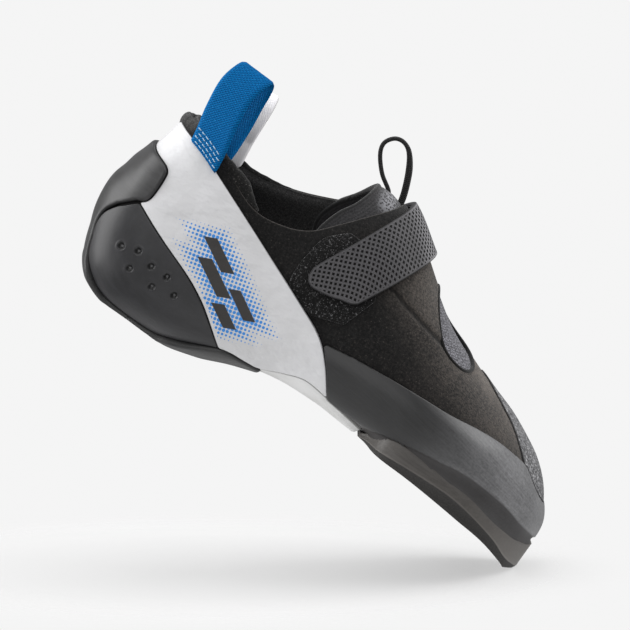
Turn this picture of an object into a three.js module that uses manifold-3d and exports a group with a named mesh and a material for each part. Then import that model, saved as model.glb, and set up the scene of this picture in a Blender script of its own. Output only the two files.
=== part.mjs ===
// A downturned climbing shoe for the right foot, in millimetres.
// Heel at X 0, toe at +X, outer side of the foot at -Y, floor at Z 0.
import * as THREE from 'three'
import Module from 'manifold-3d'
import { mergeVertices } from 'three/addons/utils/BufferGeometryUtils.js'

const wasm = await Module()
wasm.setup()

// Driving sizes
const LENGTH = 250
const BALL_WIDTH = 88
const INSTEP_HEIGHT = 110

// Thickness of each layer and the clearance between layers
const GAP = 0.3
const UPPER_WALL = 2
const INSOLE_THICK = 2.2
const TONGUE_THICK = 3
const RAND_THICK = 2
const TOE_PATCH_THICK = 1
const HEEL_RUBBER_THICK = 2.8
const HEEL_CUP_THICK = 1.8
const HEEL_BAND_THICK = 1.6
const ARCH_COVER_THICK = 1.8
const LOOP_PATCH_THICK = 1
const STRAP_THICK = 2
const STRETCH_THICK = 1.2

// Sole: its run is two shares of LENGTH, and it laps over the rand's lower edge
const SOLE_RUN = [0.614, 0.9895]
const SOLE_LEDGE = 0.4
const SOLE_BEVEL = 2.6
const SOLE_LAP = 4

// The upper's opening over the sole: its run in shares of LENGTH and its distance from the last's side
const OPENING_RUN = [0.66, 0.94]
const OPENING_INSET = 11

// Webbing loops: x is a share of LENGTH, angle the place around the last, lean the turn of the loop's face
const PULL_WIDTH = 17.6
const PULL_THICK = 1.6
const PULL_SPREAD = 10
const OUTER_PULL = { x: 0.122, angle: 0.60, height: 42, lean: 0.42 }
const INNER_PULL = { x: 0.150, angle: Math.PI - 0.56, height: 33, lean: 0.25 }

// Cord loop on the tongue
const CORD_RADIUS = 1.3
const CORD_HEIGHT = 22
const CORD_OFF_MIDDLE = 2.6

// How finely curved forms are faceted
const STATIONS = 26
const RING = 22
const SPAN_STEPS = 2
const PULL_STEPS = 18
const CORD_STEPS = 22
const CORD_SIDES = 8
const END_CROWDING = 0.15
const END_MARGIN = 0.004
const SLOPE_STEP = 0.004
const SLOPE_TURN = 0.032
const HALVINGS = 30

const WIDE = BALL_WIDTH * 2
const TALL = INSTEP_HEIGHT * 2

function table(names, rows) {
  const keys = names.split(' ')
  return rows.map(row => Object.fromEntries(keys.map((key, i) => [key, row[i]])))
}

// Cross-sections of the last: x is a share of LENGTH, low, high and waist of INSTEP_HEIGHT,
// outer, inner and ridge of BALL_WIDTH; under and over are the roundness of lower and upper halves
const SECTIONS = table('x low high outer inner waist ridge under over', [
  [0.013, 0.405, 0.405, 0.000, 0.000, 0.405, 0.000, 2.20, 2.20],
  [0.018, 0.309, 0.450, -0.119, 0.119, 0.400, 0.000, 2.20, 2.20],
  [0.029, 0.232, 0.500, -0.188, 0.182, 0.395, 0.000, 2.30, 2.20],
  [0.046, 0.150, 0.600, -0.244, 0.239, 0.391, 0.000, 2.50, 2.20],
  [0.064, 0.096, 0.764, -0.284, 0.273, 0.386, 0.000, 2.60, 2.20],
  [0.088, 0.058, 0.873, -0.312, 0.295, 0.382, 0.000, 2.70, 2.30],
  [0.124, 0.031, 0.945, -0.335, 0.312, 0.373, 0.000, 2.80, 2.40],
  [0.176, 0.022, 0.973, -0.350, 0.324, 0.373, 0.000, 2.80, 2.40],
  [0.236, 0.025, 0.982, -0.355, 0.324, 0.373, 0.000, 2.80, 2.40],
  [0.300, 0.060, 0.986, -0.358, 0.312, 0.382, 0.000, 2.70, 2.30],
  [0.360, 0.105, 0.995, -0.369, 0.307, 0.400, 0.011, 2.70, 2.20],
  [0.420, 0.139, 1.005, -0.386, 0.307, 0.418, 0.011, 2.70, 2.00],
  [0.472, 0.156, 0.982, -0.409, 0.318, 0.418, 0.023, 2.80, 1.90],
  [0.536, 0.167, 0.886, -0.432, 0.347, 0.409, 0.023, 2.90, 1.90],
  [0.600, 0.173, 0.777, -0.455, 0.392, 0.391, 0.034, 3.00, 1.90],
  [0.660, 0.178, 0.686, -0.472, 0.438, 0.364, 0.057, 3.20, 1.95],
  [0.720, 0.175, 0.623, -0.472, 0.472, 0.341, 0.080, 3.20, 2.00],
  [0.780, 0.162, 0.568, -0.449, 0.489, 0.318, 0.102, 3.20, 2.00],
  [0.832, 0.144, 0.525, -0.398, 0.489, 0.291, 0.125, 3.10, 2.10],
  [0.876, 0.123, 0.477, -0.324, 0.477, 0.268, 0.136, 3.00, 2.10],
  [0.916, 0.100, 0.424, -0.233, 0.449, 0.241, 0.148, 2.90, 2.20],
  [0.948, 0.085, 0.360, -0.125, 0.409, 0.218, 0.159, 2.80, 2.20],
  [0.972, 0.089, 0.286, 0.000, 0.352, 0.186, 0.170, 2.60, 2.20],
  [0.985, 0.109, 0.223, 0.091, 0.284, 0.164, 0.182, 2.40, 2.20],
  [0.990, 0.155, 0.155, 0.188, 0.188, 0.155, 0.188, 2.20, 2.20],
])

// Side views: x is a share of LENGTH, z of INSTEP_HEIGHT
const OUTER_RIM = [
  [0.070, 0.820], [0.120, 0.790], [0.175, 0.730], [0.220, 0.682], [0.260, 0.666], [0.310, 0.688],
  [0.345, 0.730], [0.375, 0.800], [0.410, 0.885], [0.445, 0.965], [0.475, 1.040],
]
const INNER_RIM = [
  [0.070, 0.820], [0.120, 0.775], [0.175, 0.735], [0.230, 0.730], [0.290, 0.758],
  [0.345, 0.805], [0.400, 0.870], [0.440, 0.950], [0.475, 1.040],
]
const BAND_FRONT = [
  [0.070, 0.760], [0.115, 0.735], [0.160, 0.695], [0.240, 0.620], [0.320, 0.543],
  [0.400, 0.467], [0.452, 0.412], [0.490, 0.338], [0.528, 0.231],
]
const BAND_REAR = [
  [0.076, 0.437], [0.136, 0.377], [0.212, 0.310], [0.256, 0.258], [0.292, 0.200], [0.324, 0.143],
]
const BAND_UNDER = [
  [0.324, 0.143], [0.396, 0.156], [0.440, 0.205], [0.480, 0.240], [0.528, 0.231],
]
const STRIP_EDGE = [
  [0.048, 0.380], [0.037, 0.330], [0.036, 0.275], [0.044, 0.217], [0.064, 0.122], [0.116, 0.044],
  [0.204, 0.035], [0.252, 0.062], [0.324, 0.129], [0.408, 0.146],
]
const STRIP_LOBE = [
  [0.030, 0.640], [0.060, 0.620], [0.082, 0.603], [0.088, 0.568], [0.086, 0.470], [0.070, 0.437],
]
const ARCH_TOP = [[0.528, 0.226], [0.570, 0.214], [0.610, 0.196]]
const RAND_TOP = [
  [0.462, 0.394], [0.520, 0.415], [0.600, 0.434], [0.700, 0.455], [0.792, 0.468], [0.872, 0.452],
  [0.918, 0.390], [0.955, 0.335], [1.020, 0.250],
]
const SOLE_TOP = [
  [0.612, 0.172], [0.620, 0.186], [0.636, 0.212], [0.660, 0.238], [0.700, 0.244], [0.760, 0.241],
  [0.824, 0.223], [0.876, 0.190], [0.920, 0.158], [0.960, 0.122], [1.010, 0.070],
]
const SOLE_BEVEL_LINE = [
  [0.612, 0.165], [0.650, 0.172], [0.700, 0.173], [0.790, 0.171], [0.840, 0.142], [0.880, 0.118],
  [0.920, 0.089], [0.960, 0.045], [1.010, 0.010],
]
const SOLE_BOTTOM = [
  [0.612, 0.158], [0.664, 0.148], [0.708, 0.143], [0.752, 0.129], [0.820, 0.116], [0.856, 0.093],
  [0.896, 0.067], [0.930, 0.034], [0.958, 0.002], [1.010, -0.010],
]
const INSOLE_EDGE = [
  [0.080, 0.240], [0.160, 0.160], [0.260, 0.170], [0.360, 0.240], [0.520, 0.290], [0.700, 0.275],
  [0.850, 0.215], [0.940, 0.175],
]
const TONGUE_REAR = [
  [0.420, 0.600], [0.365, 0.660], [0.350, 0.740], [0.362, 0.840], [0.385, 0.930], [0.412, 1.100],
]
const TONGUE_FRONT = [[0.690, 1.100], [0.690, 0.560], [0.560, 0.560]]
const PATCH_REAR = [
  [0.400, 0.800], [0.368, 0.730], [0.360, 0.650], [0.357, 0.590], [0.362, 0.510], [0.395, 0.468],
  [0.420, 0.455],
]
const PATCH_FRONT = [[0.478, 0.500], [0.500, 0.640], [0.470, 0.800]]
const STRAP_REAR = [
  [0.450, 0.535], [0.415, 0.553], [0.388, 0.565], [0.380, 0.600], [0.390, 0.660], [0.476, 1.030],
  [0.490, 1.150],
]
const STRAP_FRONT = [[0.450, 0.560], [0.478, 0.600], [0.490, 0.640], [0.556, 0.910], [0.620, 1.150]]

// Plan views: x is a share of LENGTH, y of BALL_WIDTH
const THROAT = [
  [0.400, -0.080], [0.400, 0.160], [0.500, 0.140], [0.585, 0.120], [0.585, 0.050], [0.500, 0.030],
]
const WINDOW = [
  [0.598, 0.150], [0.590, 0.060], [0.600, -0.120], [0.632, -0.235], [0.662, -0.262], [0.702, -0.215],
  [0.718, -0.080], [0.700, 0.080], [0.650, 0.170],
]
const TOE_PATCH = [
  [0.745, 0.180], [0.772, 0.055], [0.812, -0.045], [0.860, -0.140], [0.900, -0.195],
  [0.925, -0.230], [0.960, -0.240], [1.020, -0.150], [1.020, 0.560], [0.760, 0.560],
]

// A webbing loop from outside the rim over to its inside: out is a share of PULL_SPREAD, up of its height
const PULL_PATH = table('out up', [
  [0.20, -0.14], [0.24, 0.06], [0.50, 0.40], [0.48, 0.74], [-0.10, 0.97], [-0.84, 0.82],
  [-0.96, 0.48], [-0.56, 0.12], [-0.32, -0.12],
])

// The cord loop above the tongue's top: x is a share of LENGTH, up of CORD_HEIGHT
const CORD_PATH = table('x up', [
  [0.430, -0.18], [0.424, 0.05], [0.396, 0.27], [0.374, 0.55], [0.368, 0.77], [0.378, 0.95],
  [0.394, 1.00], [0.412, 0.91], [0.430, 0.64], [0.445, 0.27], [0.452, 0.00], [0.454, -0.27],
])

// Heights from which plan outlines are cut upward, or below which they are cut, as shares of INSTEP_HEIGHT
const THROAT_FROM = 0.6
const WINDOW_FROM = 0.5
const OPENING_BELOW = 0.25
const CORD_FOOT = 0.98

const mix = (a, b, t) => a + (b - a) * t

function cubic(a, b, c, d, t) {
  return b + 0.5 * t * (c - a + t * (2 * a - 5 * b + 4 * c - d + t * (3 * (b - c) + d - a)))
}

// A row past either end mirrors the last, so that heel and toe close as round ends
function mirrored(end, next) {
  const row = {}
  for (const key of Object.keys(end)) row[key] = 2 * end[key] - next[key]
  row.x = next.x
  return row
}

function sectionAt(share) {
  const last = SECTIONS.length - 1
  const ends = [mirrored(SECTIONS[0], SECTIONS[1]), mirrored(SECTIONS[last], SECTIONS[last - 1])]
  const rows = [ends[0], ...SECTIONS, ends[1]]
  const place = THREE.MathUtils.clamp(share, 0, 1) * last
  const i = Math.min(Math.floor(place), last - 1)
  const section = {}
  for (const key of Object.keys(SECTIONS[0])) {
    section[key] = cubic(rows[i][key], rows[i + 1][key], rows[i + 2][key], rows[i + 3][key], place - i)
  }
  return section
}

// A point of the last's surface: share runs from heel to toe, angle from the outer side over the top
function surfacePoint(share, angle) {
  const s = sectionAt(share)
  const across = Math.cos(angle)
  const rise = Math.sin(angle)
  const power = 2 / (rise > 0 ? s.over : s.under)
  const reach = across > 0 ? s.outer : s.inner
  const y = s.ridge + (reach - s.ridge) * Math.abs(across) ** power
  const z = s.waist + ((rise > 0 ? s.high : s.low) - s.waist) * Math.abs(rise) ** power
  return new THREE.Vector3(s.x * LENGTH, y * BALL_WIDTH, z * INSTEP_HEIGHT)
}

function offsetPoint(share, angle, offset) {
  const [before, after] = [Math.max(share - SLOPE_STEP, 0), Math.min(share + SLOPE_STEP, 1)]
  const along = surfacePoint(after, angle).sub(surfacePoint(before, angle))
  const around = surfacePoint(share, angle + SLOPE_TURN).sub(surfacePoint(share, angle - SLOPE_TURN))
  const normal = along.cross(around).normalize()
  return surfacePoint(share, angle).addScaledVector(normal, offset)
}

function toSolid(geometry) {
  const bare = geometry.index ? geometry.toNonIndexed() : geometry.clone()
  bare.deleteAttribute('normal')
  bare.deleteAttribute('uv')
  const merged = mergeVertices(bare, 1e-4)
  return new wasm.Manifold(new wasm.Mesh({
    numProp: 3,
    vertProperties: new Float32Array(merged.attributes.position.array),
    triVerts: new Uint32Array(merged.index.array),
  }))
}

// Closes a row of rings, each with as many points, into one solid with a fan at either end
function loft(rings) {
  const count = rings[0].length
  const corners = []
  for (let i = 0; i + 1 < rings.length; i++) {
    for (let j = 0; j < count; j++) {
      const k = (j + 1) % count
      corners.push(rings[i][j], rings[i][k], rings[i + 1][k], rings[i][j], rings[i + 1][k], rings[i + 1][j])
    }
  }
  for (const [ring, ahead] of [[rings[0], false], [rings[rings.length - 1], true]]) {
    const middle = ring.reduce((sum, p) => sum.add(p), new THREE.Vector3()).divideScalar(count)
    for (let j = 0; j < count; j++) {
      const pair = [ring[j], ring[(j + 1) % count]]
      corners.push(middle, ...(ahead ? pair : pair.reverse()))
    }
  }
  return toSolid(new THREE.BufferGeometry().setFromPoints(corners))
}

// The whole last grown or shrunk by an offset
function body(offset) {
  const rings = []
  for (let i = 0; i <= STATIONS; i++) {
    const even = i / STATIONS
    const ends = (1 - Math.cos(Math.PI * even)) / 2
    const share = THREE.MathUtils.clamp(mix(even, ends, END_CROWDING), END_MARGIN, 1 - END_MARGIN)
    const ring = []
    for (let j = 0; j < RING; j++) ring.push(offsetPoint(share, -2 * Math.PI * j / RING, offset))
    rings.push(ring)
  }
  return loft(rings)
}

const bodies = new Map()
function bodyAt(offset) {
  const key = offset.toFixed(3)
  if (!bodies.has(key)) bodies.set(key, body(offset))
  return bodies.get(key)
}

function shell(from, to) {
  return bodyAt(to).subtract(bodyAt(from))
}

function smooth(points) {
  const curve = new THREE.SplineCurve(points.map(p => new THREE.Vector2(p[0], p[1])))
  return curve.getPoints(SPAN_STEPS * (points.length - 1)).map(p => [p.x, p.y])
}

function shapeOf(points, width, height) {
  return new THREE.Shape(points.map(p => new THREE.Vector2(p[0] * width, p[1] * height)))
}

// A side outline pushed through the shoe from y0 to y1
function sidePrism(points, y0 = -WIDE, y1 = WIDE) {
  const geometry = new THREE.ExtrudeGeometry(shapeOf(points, LENGTH, INSTEP_HEIGHT), {
    depth: y1 - y0,
    bevelEnabled: false,
  })
  return toSolid(geometry.rotateX(Math.PI / 2).translate(0, y1, 0))
}

// A plan outline pushed up from z0 to z1
function planPrism(points, z0 = -TALL, z1 = TALL) {
  const geometry = new THREE.ExtrudeGeometry(shapeOf(points, LENGTH, BALL_WIDTH), {
    depth: z1 - z0,
    bevelEnabled: false,
  })
  return toSolid(geometry.translate(0, 0, z0))
}

// Limits past the shoe on every side, in the shares of the side views
const TOP = 1.6
const BELOW = -0.4
const BEHIND = -0.1
const AHEAD = 1.1

function above(line) {
  const points = smooth(line)
  return [...points, [points.at(-1)[0], TOP], [points[0][0], TOP]]
}

function below(line) {
  const points = smooth(line)
  return [...points, [points.at(-1)[0], BELOW], [points[0][0], BELOW]]
}

// Everything above the rim, one curve for each side of the foot, moved up by a lift
function collarSpace(lift) {
  const outer = sidePrism(above([[BEHIND, OUTER_RIM[0][1]], ...OUTER_RIM]), -WIDE, 0)
  const inner = sidePrism(above([[BEHIND, INNER_RIM[0][1]], ...INNER_RIM]), 0, WIDE)
  return outer.add(inner).translate([0, 0, lift])
}

// Moves a closed outline out by a distance in millimetres, away from its own inside
function grown(points, distance, height = INSTEP_HEIGHT) {
  const flat = points.map(p => new THREE.Vector2(p[0] * LENGTH, p[1] * height))
  const sign = THREE.ShapeUtils.area(flat) > 0 ? 1 : -1
  return flat.map((p, i) => {
    const before = flat[(i + flat.length - 1) % flat.length]
    const after = flat[(i + 1) % flat.length]
    const way = after.clone().sub(before).normalize()
    return [(p.x + way.y * distance * sign) / LENGTH, (p.y - way.x * distance * sign) / height]
  })
}

function throatSpace() {
  return planPrism(THROAT, INSTEP_HEIGHT * THROAT_FROM)
}

function windowSpace(inset) {
  const outline = smooth([...WINDOW, WINDOW[0]]).slice(0, -1)
  return planPrism(grown(outline, -inset, BALL_WIDTH), INSTEP_HEIGHT * WINDOW_FROM)
}

// The share along the sections at which the last has a given x, as a share of LENGTH
function shareAt(x) {
  let [low, high] = [0, 1]
  for (let i = 0; i < HALVINGS; i++) {
    const middle = (low + high) / 2
    if (sectionAt(middle).x < x) low = middle
    else high = middle
  }
  return (low + high) / 2
}

// The last's plan outline moved in or out, over a run in shares of LENGTH
function footprint(grow, run) {
  const [from, to] = run.map(shareAt)
  const outer = []
  const inner = []
  const steps = STATIONS / 2
  for (let i = 0; i <= steps; i++) {
    const share = mix(from, to, Math.sin(Math.PI / 2 * i / steps))
    outer.push(offsetPoint(share, 0, grow))
    inner.push(offsetPoint(share, Math.PI, grow))
  }
  return { outer, inner }
}

function upper() {
  const { outer, inner } = footprint(-OPENING_INSET, OPENING_RUN)
  const outline = [...outer, ...inner.reverse()].map(p => [p.x / LENGTH, p.y / BALL_WIDTH])
  const opening = planPrism(outline, -TALL, INSTEP_HEIGHT * OPENING_BELOW)
  return shell(-UPPER_WALL, 0)
    .subtract(collarSpace(0))
    .subtract(throatSpace())
    .subtract(windowSpace(0))
    .subtract(opening)
}

function insole() {
  const from = -UPPER_WALL - GAP
  return shell(from - INSOLE_THICK, from).intersect(sidePrism(below(INSOLE_EDGE)))
}

function heightOn(line, x) {
  const points = smooth(line)
  const i = Math.max(1, points.findIndex(p => p[0] >= x))
  const [a, b] = [points[i - 1], points[i]]
  return mix(a[1], b[1], THREE.MathUtils.clamp((x - a[0]) / (b[0] - a[0]), 0, 1))
}

// The front half-sole: side wall, bevel and underside follow three lines of the side view
function soleBlock() {
  const { outer, inner } = footprint(RAND_THICK + GAP * 2 + SOLE_LEDGE, SOLE_RUN)
  const rings = outer.map((left, i) => {
    const right = inner[i]
    const inset = Math.min(SOLE_BEVEL, (right.y - left.y) / 3)
    const at = (p, line, shift) => {
      const z = heightOn(line, p.x / LENGTH) * INSTEP_HEIGHT
      return new THREE.Vector3(p.x, p.y + shift, z)
    }
    return [
      at(left, SOLE_BEVEL_LINE, 0), at(left, SOLE_BOTTOM, inset), at(right, SOLE_BOTTOM, -inset),
      at(right, SOLE_BEVEL_LINE, 0), at(right, SOLE_TOP, 0), at(left, SOLE_TOP, 0),
    ]
  })
  return loft(rings)
}

function aboveFloor() {
  return sidePrism([[BEHIND, 0], [AHEAD, 0], [AHEAD, TOP], [BEHIND, TOP]])
}

function soleLine(drop) {
  return SOLE_TOP.map(([x, z]) => [x, z - drop / INSTEP_HEIGHT])
}

function rand() {
  return shell(GAP, GAP + RAND_THICK)
    .intersect(sidePrism(below(RAND_TOP)))
    .subtract(sidePrism(grown(bandRegion(), GAP)))
    .subtract(sidePrism(grown(archRegion(), GAP)))
    .subtract(sidePrism(below(soleLine(SOLE_LAP))))
}

function outsole() {
  const underRand = sidePrism(below(soleLine(SOLE_LAP + GAP)))
  return soleBlock()
    .intersect(aboveFloor())
    .subtract(bodyAt(GAP))
    .subtract(bodyAt(RAND_THICK + GAP * 2).subtract(underRand))
}

function stripRegion() {
  const edge = smooth(STRIP_EDGE)
  const lobe = smooth(STRIP_LOBE)
  return [...lobe, ...edge, [STRIP_EDGE.at(-1)[0], BELOW], [BEHIND, BELOW], [BEHIND, STRIP_LOBE[0][1]]]
}

function heelRubber() {
  return shell(GAP, GAP + HEEL_RUBBER_THICK)
    .intersect(sidePrism(stripRegion()))
    .intersect(aboveFloor())
}

function cupRegion() {
  return [...smooth(BAND_REAR), ...smooth(STRIP_EDGE).filter(p => p[0] < BAND_REAR.at(-1)[0]).reverse()]
}

function heelCup(y0, y1) {
  return shell(GAP, GAP + HEEL_CUP_THICK)
    .intersect(sidePrism(cupRegion(), y0, y1))
    .subtract(sidePrism(grown(stripRegion(), GAP)))
}

function bandRegion() {
  const rear = smooth(BAND_REAR)
  const back = [[BEHIND, BAND_REAR[0][1]], [BEHIND, BAND_FRONT[0][1]]]
  return [...smooth(BAND_FRONT), ...smooth(BAND_UNDER).reverse(), ...rear.slice(0, -1).reverse(), ...back]
}

function heelBand() {
  return shell(GAP, GAP + HEEL_BAND_THICK)
    .intersect(sidePrism(bandRegion()))
    .subtract(sidePrism(grown(stripRegion(), GAP)))
    .subtract(sidePrism(grown(cupRegion(), GAP)))
}

function archRegion() {
  const top = [...smooth(BAND_UNDER), ...smooth(ARCH_TOP).slice(1)]
  return [...top, [top.at(-1)[0], BELOW], [top[0][0], BELOW]]
}

function archCover() {
  return shell(GAP, GAP + ARCH_COVER_THICK)
    .intersect(sidePrism(archRegion()))
    .subtract(sidePrism(grown(bandRegion(), GAP)))
    .subtract(sidePrism(grown(stripRegion(), GAP)))
}

function toePatch() {
  return shell(GAP, GAP + TOE_PATCH_THICK)
    .intersect(planPrism(TOE_PATCH))
    .intersect(sidePrism(above(RAND_TOP)).translate([0, 0, GAP]))
}

function stretchWindow() {
  return shell(-UPPER_WALL, -UPPER_WALL + STRETCH_THICK).intersect(windowSpace(GAP * 2))
}

function tongue() {
  const from = -UPPER_WALL - GAP
  const region = [...smooth(TONGUE_REAR), ...TONGUE_FRONT]
  return shell(from - TONGUE_THICK, from).intersect(sidePrism(region))
}

function loopPatch() {
  const region = [...smooth(PATCH_REAR), ...PATCH_FRONT]
  return shell(GAP, GAP + LOOP_PATCH_THICK)
    .intersect(sidePrism(region, -WIDE, 0))
    .subtract(collarSpace(-GAP))
    .subtract(sidePrism(grown(bandRegion(), GAP)))
    .subtract(sidePrism(below(RAND_TOP)).translate([0, 0, GAP]))
}

function strap() {
  const from = GAP * 2 + LOOP_PATCH_THICK
  const region = [...smooth(STRAP_REAR), ...smooth(STRAP_FRONT).reverse()]
  return shell(from, from + STRAP_THICK).intersect(sidePrism(region))
}

// A webbing strip up from the outside of the rim, over, and down inside it
function pullLoop({ x, angle, height, lean }) {
  const foot = offsetPoint(shareAt(x), angle, 0)
  const normal = new THREE.Vector3(-Math.sin(lean), Math.sign(foot.y) * Math.cos(lean), 0)
  const width = new THREE.Vector3(-normal.y, normal.x, 0)
  const path = new THREE.CatmullRomCurve3(PULL_PATH.map(({ out, up }) =>
    foot.clone().addScaledVector(normal, out * PULL_SPREAD).add(new THREE.Vector3(0, 0, up * height))))
  const rings = path.getPoints(PULL_STEPS).map((point, i, all) => {
    const way = all[Math.min(i + 1, all.length - 1)].clone().sub(all[Math.max(i - 1, 0)]).normalize()
    const thick = width.clone().cross(way).setLength(PULL_THICK / 2)
    const half = width.clone().multiplyScalar(PULL_WIDTH / 2)
    return [[1, 1], [1, -1], [-1, -1], [-1, 1]].map(([a, b]) =>
      point.clone().addScaledVector(half, a).addScaledVector(thick, b))
  })
  return loft(rings)
    .subtract(shell(-UPPER_WALL - GAP, GAP * 2 + HEEL_BAND_THICK).subtract(collarSpace(GAP)))
}

function cordLoop() {
  const foot = INSTEP_HEIGHT * CORD_FOOT
  const path = new THREE.CatmullRomCurve3(CORD_PATH.map(({ x, up }) =>
    new THREE.Vector3(x * LENGTH, CORD_OFF_MIDDLE, foot + up * CORD_HEIGHT)))
  const section = new THREE.Shape()
  for (let i = 0; i < CORD_SIDES; i++) {
    const angle = 2 * Math.PI * i / CORD_SIDES
    const corner = [CORD_RADIUS * Math.cos(angle), CORD_RADIUS * Math.sin(angle)]
    if (i) section.lineTo(...corner)
    else section.moveTo(...corner)
  }
  const run = { extrudePath: path, steps: CORD_STEPS, bevelEnabled: false }
  return toSolid(new THREE.ExtrudeGeometry(section, run)).subtract(bodyAt(-UPPER_WALL))
}

const RUBBER = { color: 0x3d3d3e, roughness: 0.55, metalness: 0 }
const SUEDE = { color: 0x1c1b1a, roughness: 0.95, metalness: 0 }
const WHITE = { color: 0xdfe0e2, roughness: 0.6, metalness: 0 }
const BLUE = { color: 0x1871b8, roughness: 0.7, metalness: 0 }
const GREY = { color: 0x8a8a8e, roughness: 0.85, metalness: 0 }
const STRAP_GREY = { color: 0x4a4a4b, roughness: 0.7, metalness: 0 }
const BLACK = { color: 0x141414, roughness: 0.9, metalness: 0 }

const shoe = new THREE.Group()

function add(name, solid, finish) {
  const { vertProperties, triVerts } = solid.getMesh()
  const geometry = new THREE.BufferGeometry()
  geometry.setAttribute('position', new THREE.BufferAttribute(vertProperties, 3))
  geometry.setIndex(new THREE.BufferAttribute(triVerts, 1))
  const mesh = new THREE.Mesh(geometry, new THREE.MeshStandardMaterial(finish))
  mesh.name = name
  shoe.add(mesh)
}

add('upper', upper(), SUEDE)
add('insole', insole(), GREY)
add('outsole', outsole(), RUBBER)
add('rand', rand(), RUBBER)
add('heel_rubber', heelRubber(), RUBBER)
add('heel_cup_outer', heelCup(-WIDE, 0), RUBBER)
add('heel_cup_inner', heelCup(0, WIDE), RUBBER)
add('heel_band', heelBand(), WHITE)
add('arch_cover', archCover(), WHITE)
add('toe_patch', toePatch(), GREY)
add('stretch_window', stretchWindow(), GREY)
add('tongue', tongue(), SUEDE)
add('loop_patch', loopPatch(), BLACK)
add('strap', strap(), STRAP_GREY)
add('pull_loop_outer', pullLoop(OUTER_PULL), BLUE)
add('pull_loop_inner', pullLoop(INNER_PULL), WHITE)
add('cord_loop', cordLoop(), BLACK)

// The origin lies under the middle of the whole shoe, on the floor
const extent = new THREE.Box3().setFromObject(shoe)
const middle = extent.getCenter(new THREE.Vector3())
shoe.position.set(-middle.x, -middle.y, -extent.min.z)

export default shoe
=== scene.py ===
import math

import bpy
import numpy as np
from mathutils import Matrix, Vector


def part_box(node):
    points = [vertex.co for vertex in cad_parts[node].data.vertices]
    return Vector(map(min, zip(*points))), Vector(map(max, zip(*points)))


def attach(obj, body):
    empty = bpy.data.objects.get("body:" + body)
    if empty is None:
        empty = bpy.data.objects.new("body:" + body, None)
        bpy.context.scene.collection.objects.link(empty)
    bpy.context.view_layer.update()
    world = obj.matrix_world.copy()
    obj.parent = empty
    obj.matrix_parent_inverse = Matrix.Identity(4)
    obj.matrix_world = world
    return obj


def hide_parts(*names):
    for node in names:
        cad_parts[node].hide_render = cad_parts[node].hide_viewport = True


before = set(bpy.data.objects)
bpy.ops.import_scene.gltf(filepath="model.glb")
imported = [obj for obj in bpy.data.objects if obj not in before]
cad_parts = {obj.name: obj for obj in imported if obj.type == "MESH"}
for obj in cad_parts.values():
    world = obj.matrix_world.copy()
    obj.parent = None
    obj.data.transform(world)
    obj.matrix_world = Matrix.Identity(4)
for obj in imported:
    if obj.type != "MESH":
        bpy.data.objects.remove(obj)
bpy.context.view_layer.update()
print("frame loaded with", len(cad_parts), "nodes")

mm = 0.001

# the last that every panel is cut on, heel at the low end of X and outer side at -Y
last = {"length": 250 * mm, "width": 88 * mm, "height": 110 * mm, "cordOffMiddle": 2.6 * mm,
        "slopeStep": 0.004, "slopeTurn": 0.032, "ends": 0.003}

# x is a share of the length, low, high and waist of the height, outer, inner and ridge of the width;
# under and over are the roundness of the lower and upper halves
sectionNames = ["x", "low", "high", "outer", "inner", "waist", "ridge", "under", "over"]
sectionRows = np.array([
    [0.013, 0.405, 0.405, 0.000, 0.000, 0.405, 0.000, 2.20, 2.20],
    [0.018, 0.309, 0.450, -0.119, 0.119, 0.400, 0.000, 2.20, 2.20],
    [0.029, 0.232, 0.500, -0.188, 0.182, 0.395, 0.000, 2.30, 2.20],
    [0.046, 0.150, 0.600, -0.244, 0.239, 0.391, 0.000, 2.50, 2.20],
    [0.064, 0.096, 0.764, -0.284, 0.273, 0.386, 0.000, 2.60, 2.20],
    [0.088, 0.058, 0.873, -0.312, 0.295, 0.382, 0.000, 2.70, 2.30],
    [0.124, 0.031, 0.945, -0.335, 0.312, 0.373, 0.000, 2.80, 2.40],
    [0.176, 0.022, 0.973, -0.350, 0.324, 0.373, 0.000, 2.80, 2.40],
    [0.236, 0.025, 0.982, -0.355, 0.324, 0.373, 0.000, 2.80, 2.40],
    [0.300, 0.060, 0.986, -0.358, 0.312, 0.382, 0.000, 2.70, 2.30],
    [0.360, 0.105, 0.995, -0.369, 0.307, 0.400, 0.011, 2.70, 2.20],
    [0.420, 0.139, 1.005, -0.386, 0.307, 0.418, 0.011, 2.70, 2.00],
    [0.472, 0.156, 0.982, -0.409, 0.318, 0.418, 0.023, 2.80, 1.90],
    [0.536, 0.167, 0.886, -0.432, 0.347, 0.409, 0.023, 2.90, 1.90],
    [0.600, 0.173, 0.777, -0.455, 0.392, 0.391, 0.034, 3.00, 1.90],
    [0.660, 0.178, 0.686, -0.472, 0.438, 0.364, 0.057, 3.20, 1.95],
    [0.720, 0.175, 0.623, -0.472, 0.472, 0.341, 0.080, 3.20, 2.00],
    [0.780, 0.162, 0.568, -0.449, 0.489, 0.318, 0.102, 3.20, 2.00],
    [0.832, 0.144, 0.525, -0.398, 0.489, 0.291, 0.125, 3.10, 2.10],
    [0.876, 0.123, 0.477, -0.324, 0.477, 0.268, 0.136, 3.00, 2.10],
    [0.916, 0.100, 0.424, -0.233, 0.449, 0.241, 0.148, 2.90, 2.20],
    [0.948, 0.085, 0.360, -0.125, 0.409, 0.218, 0.159, 2.80, 2.20],
    [0.972, 0.089, 0.286, 0.000, 0.352, 0.186, 0.170, 2.60, 2.20],
    [0.985, 0.109, 0.223, 0.091, 0.284, 0.164, 0.182, 2.40, 2.20],
    [0.990, 0.155, 0.155, 0.188, 0.188, 0.155, 0.188, 2.20, 2.20],
])

# where the last lies in the frame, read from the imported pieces
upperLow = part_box("upper")[0]
cordLow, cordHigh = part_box("cord_loop")
lastOrigin = np.array([upperLow.x - sectionRows[0, 0] * last["length"],
                       (cordLow.y + cordHigh.y) / 2 - last["cordOffMiddle"], 0.0])


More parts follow.
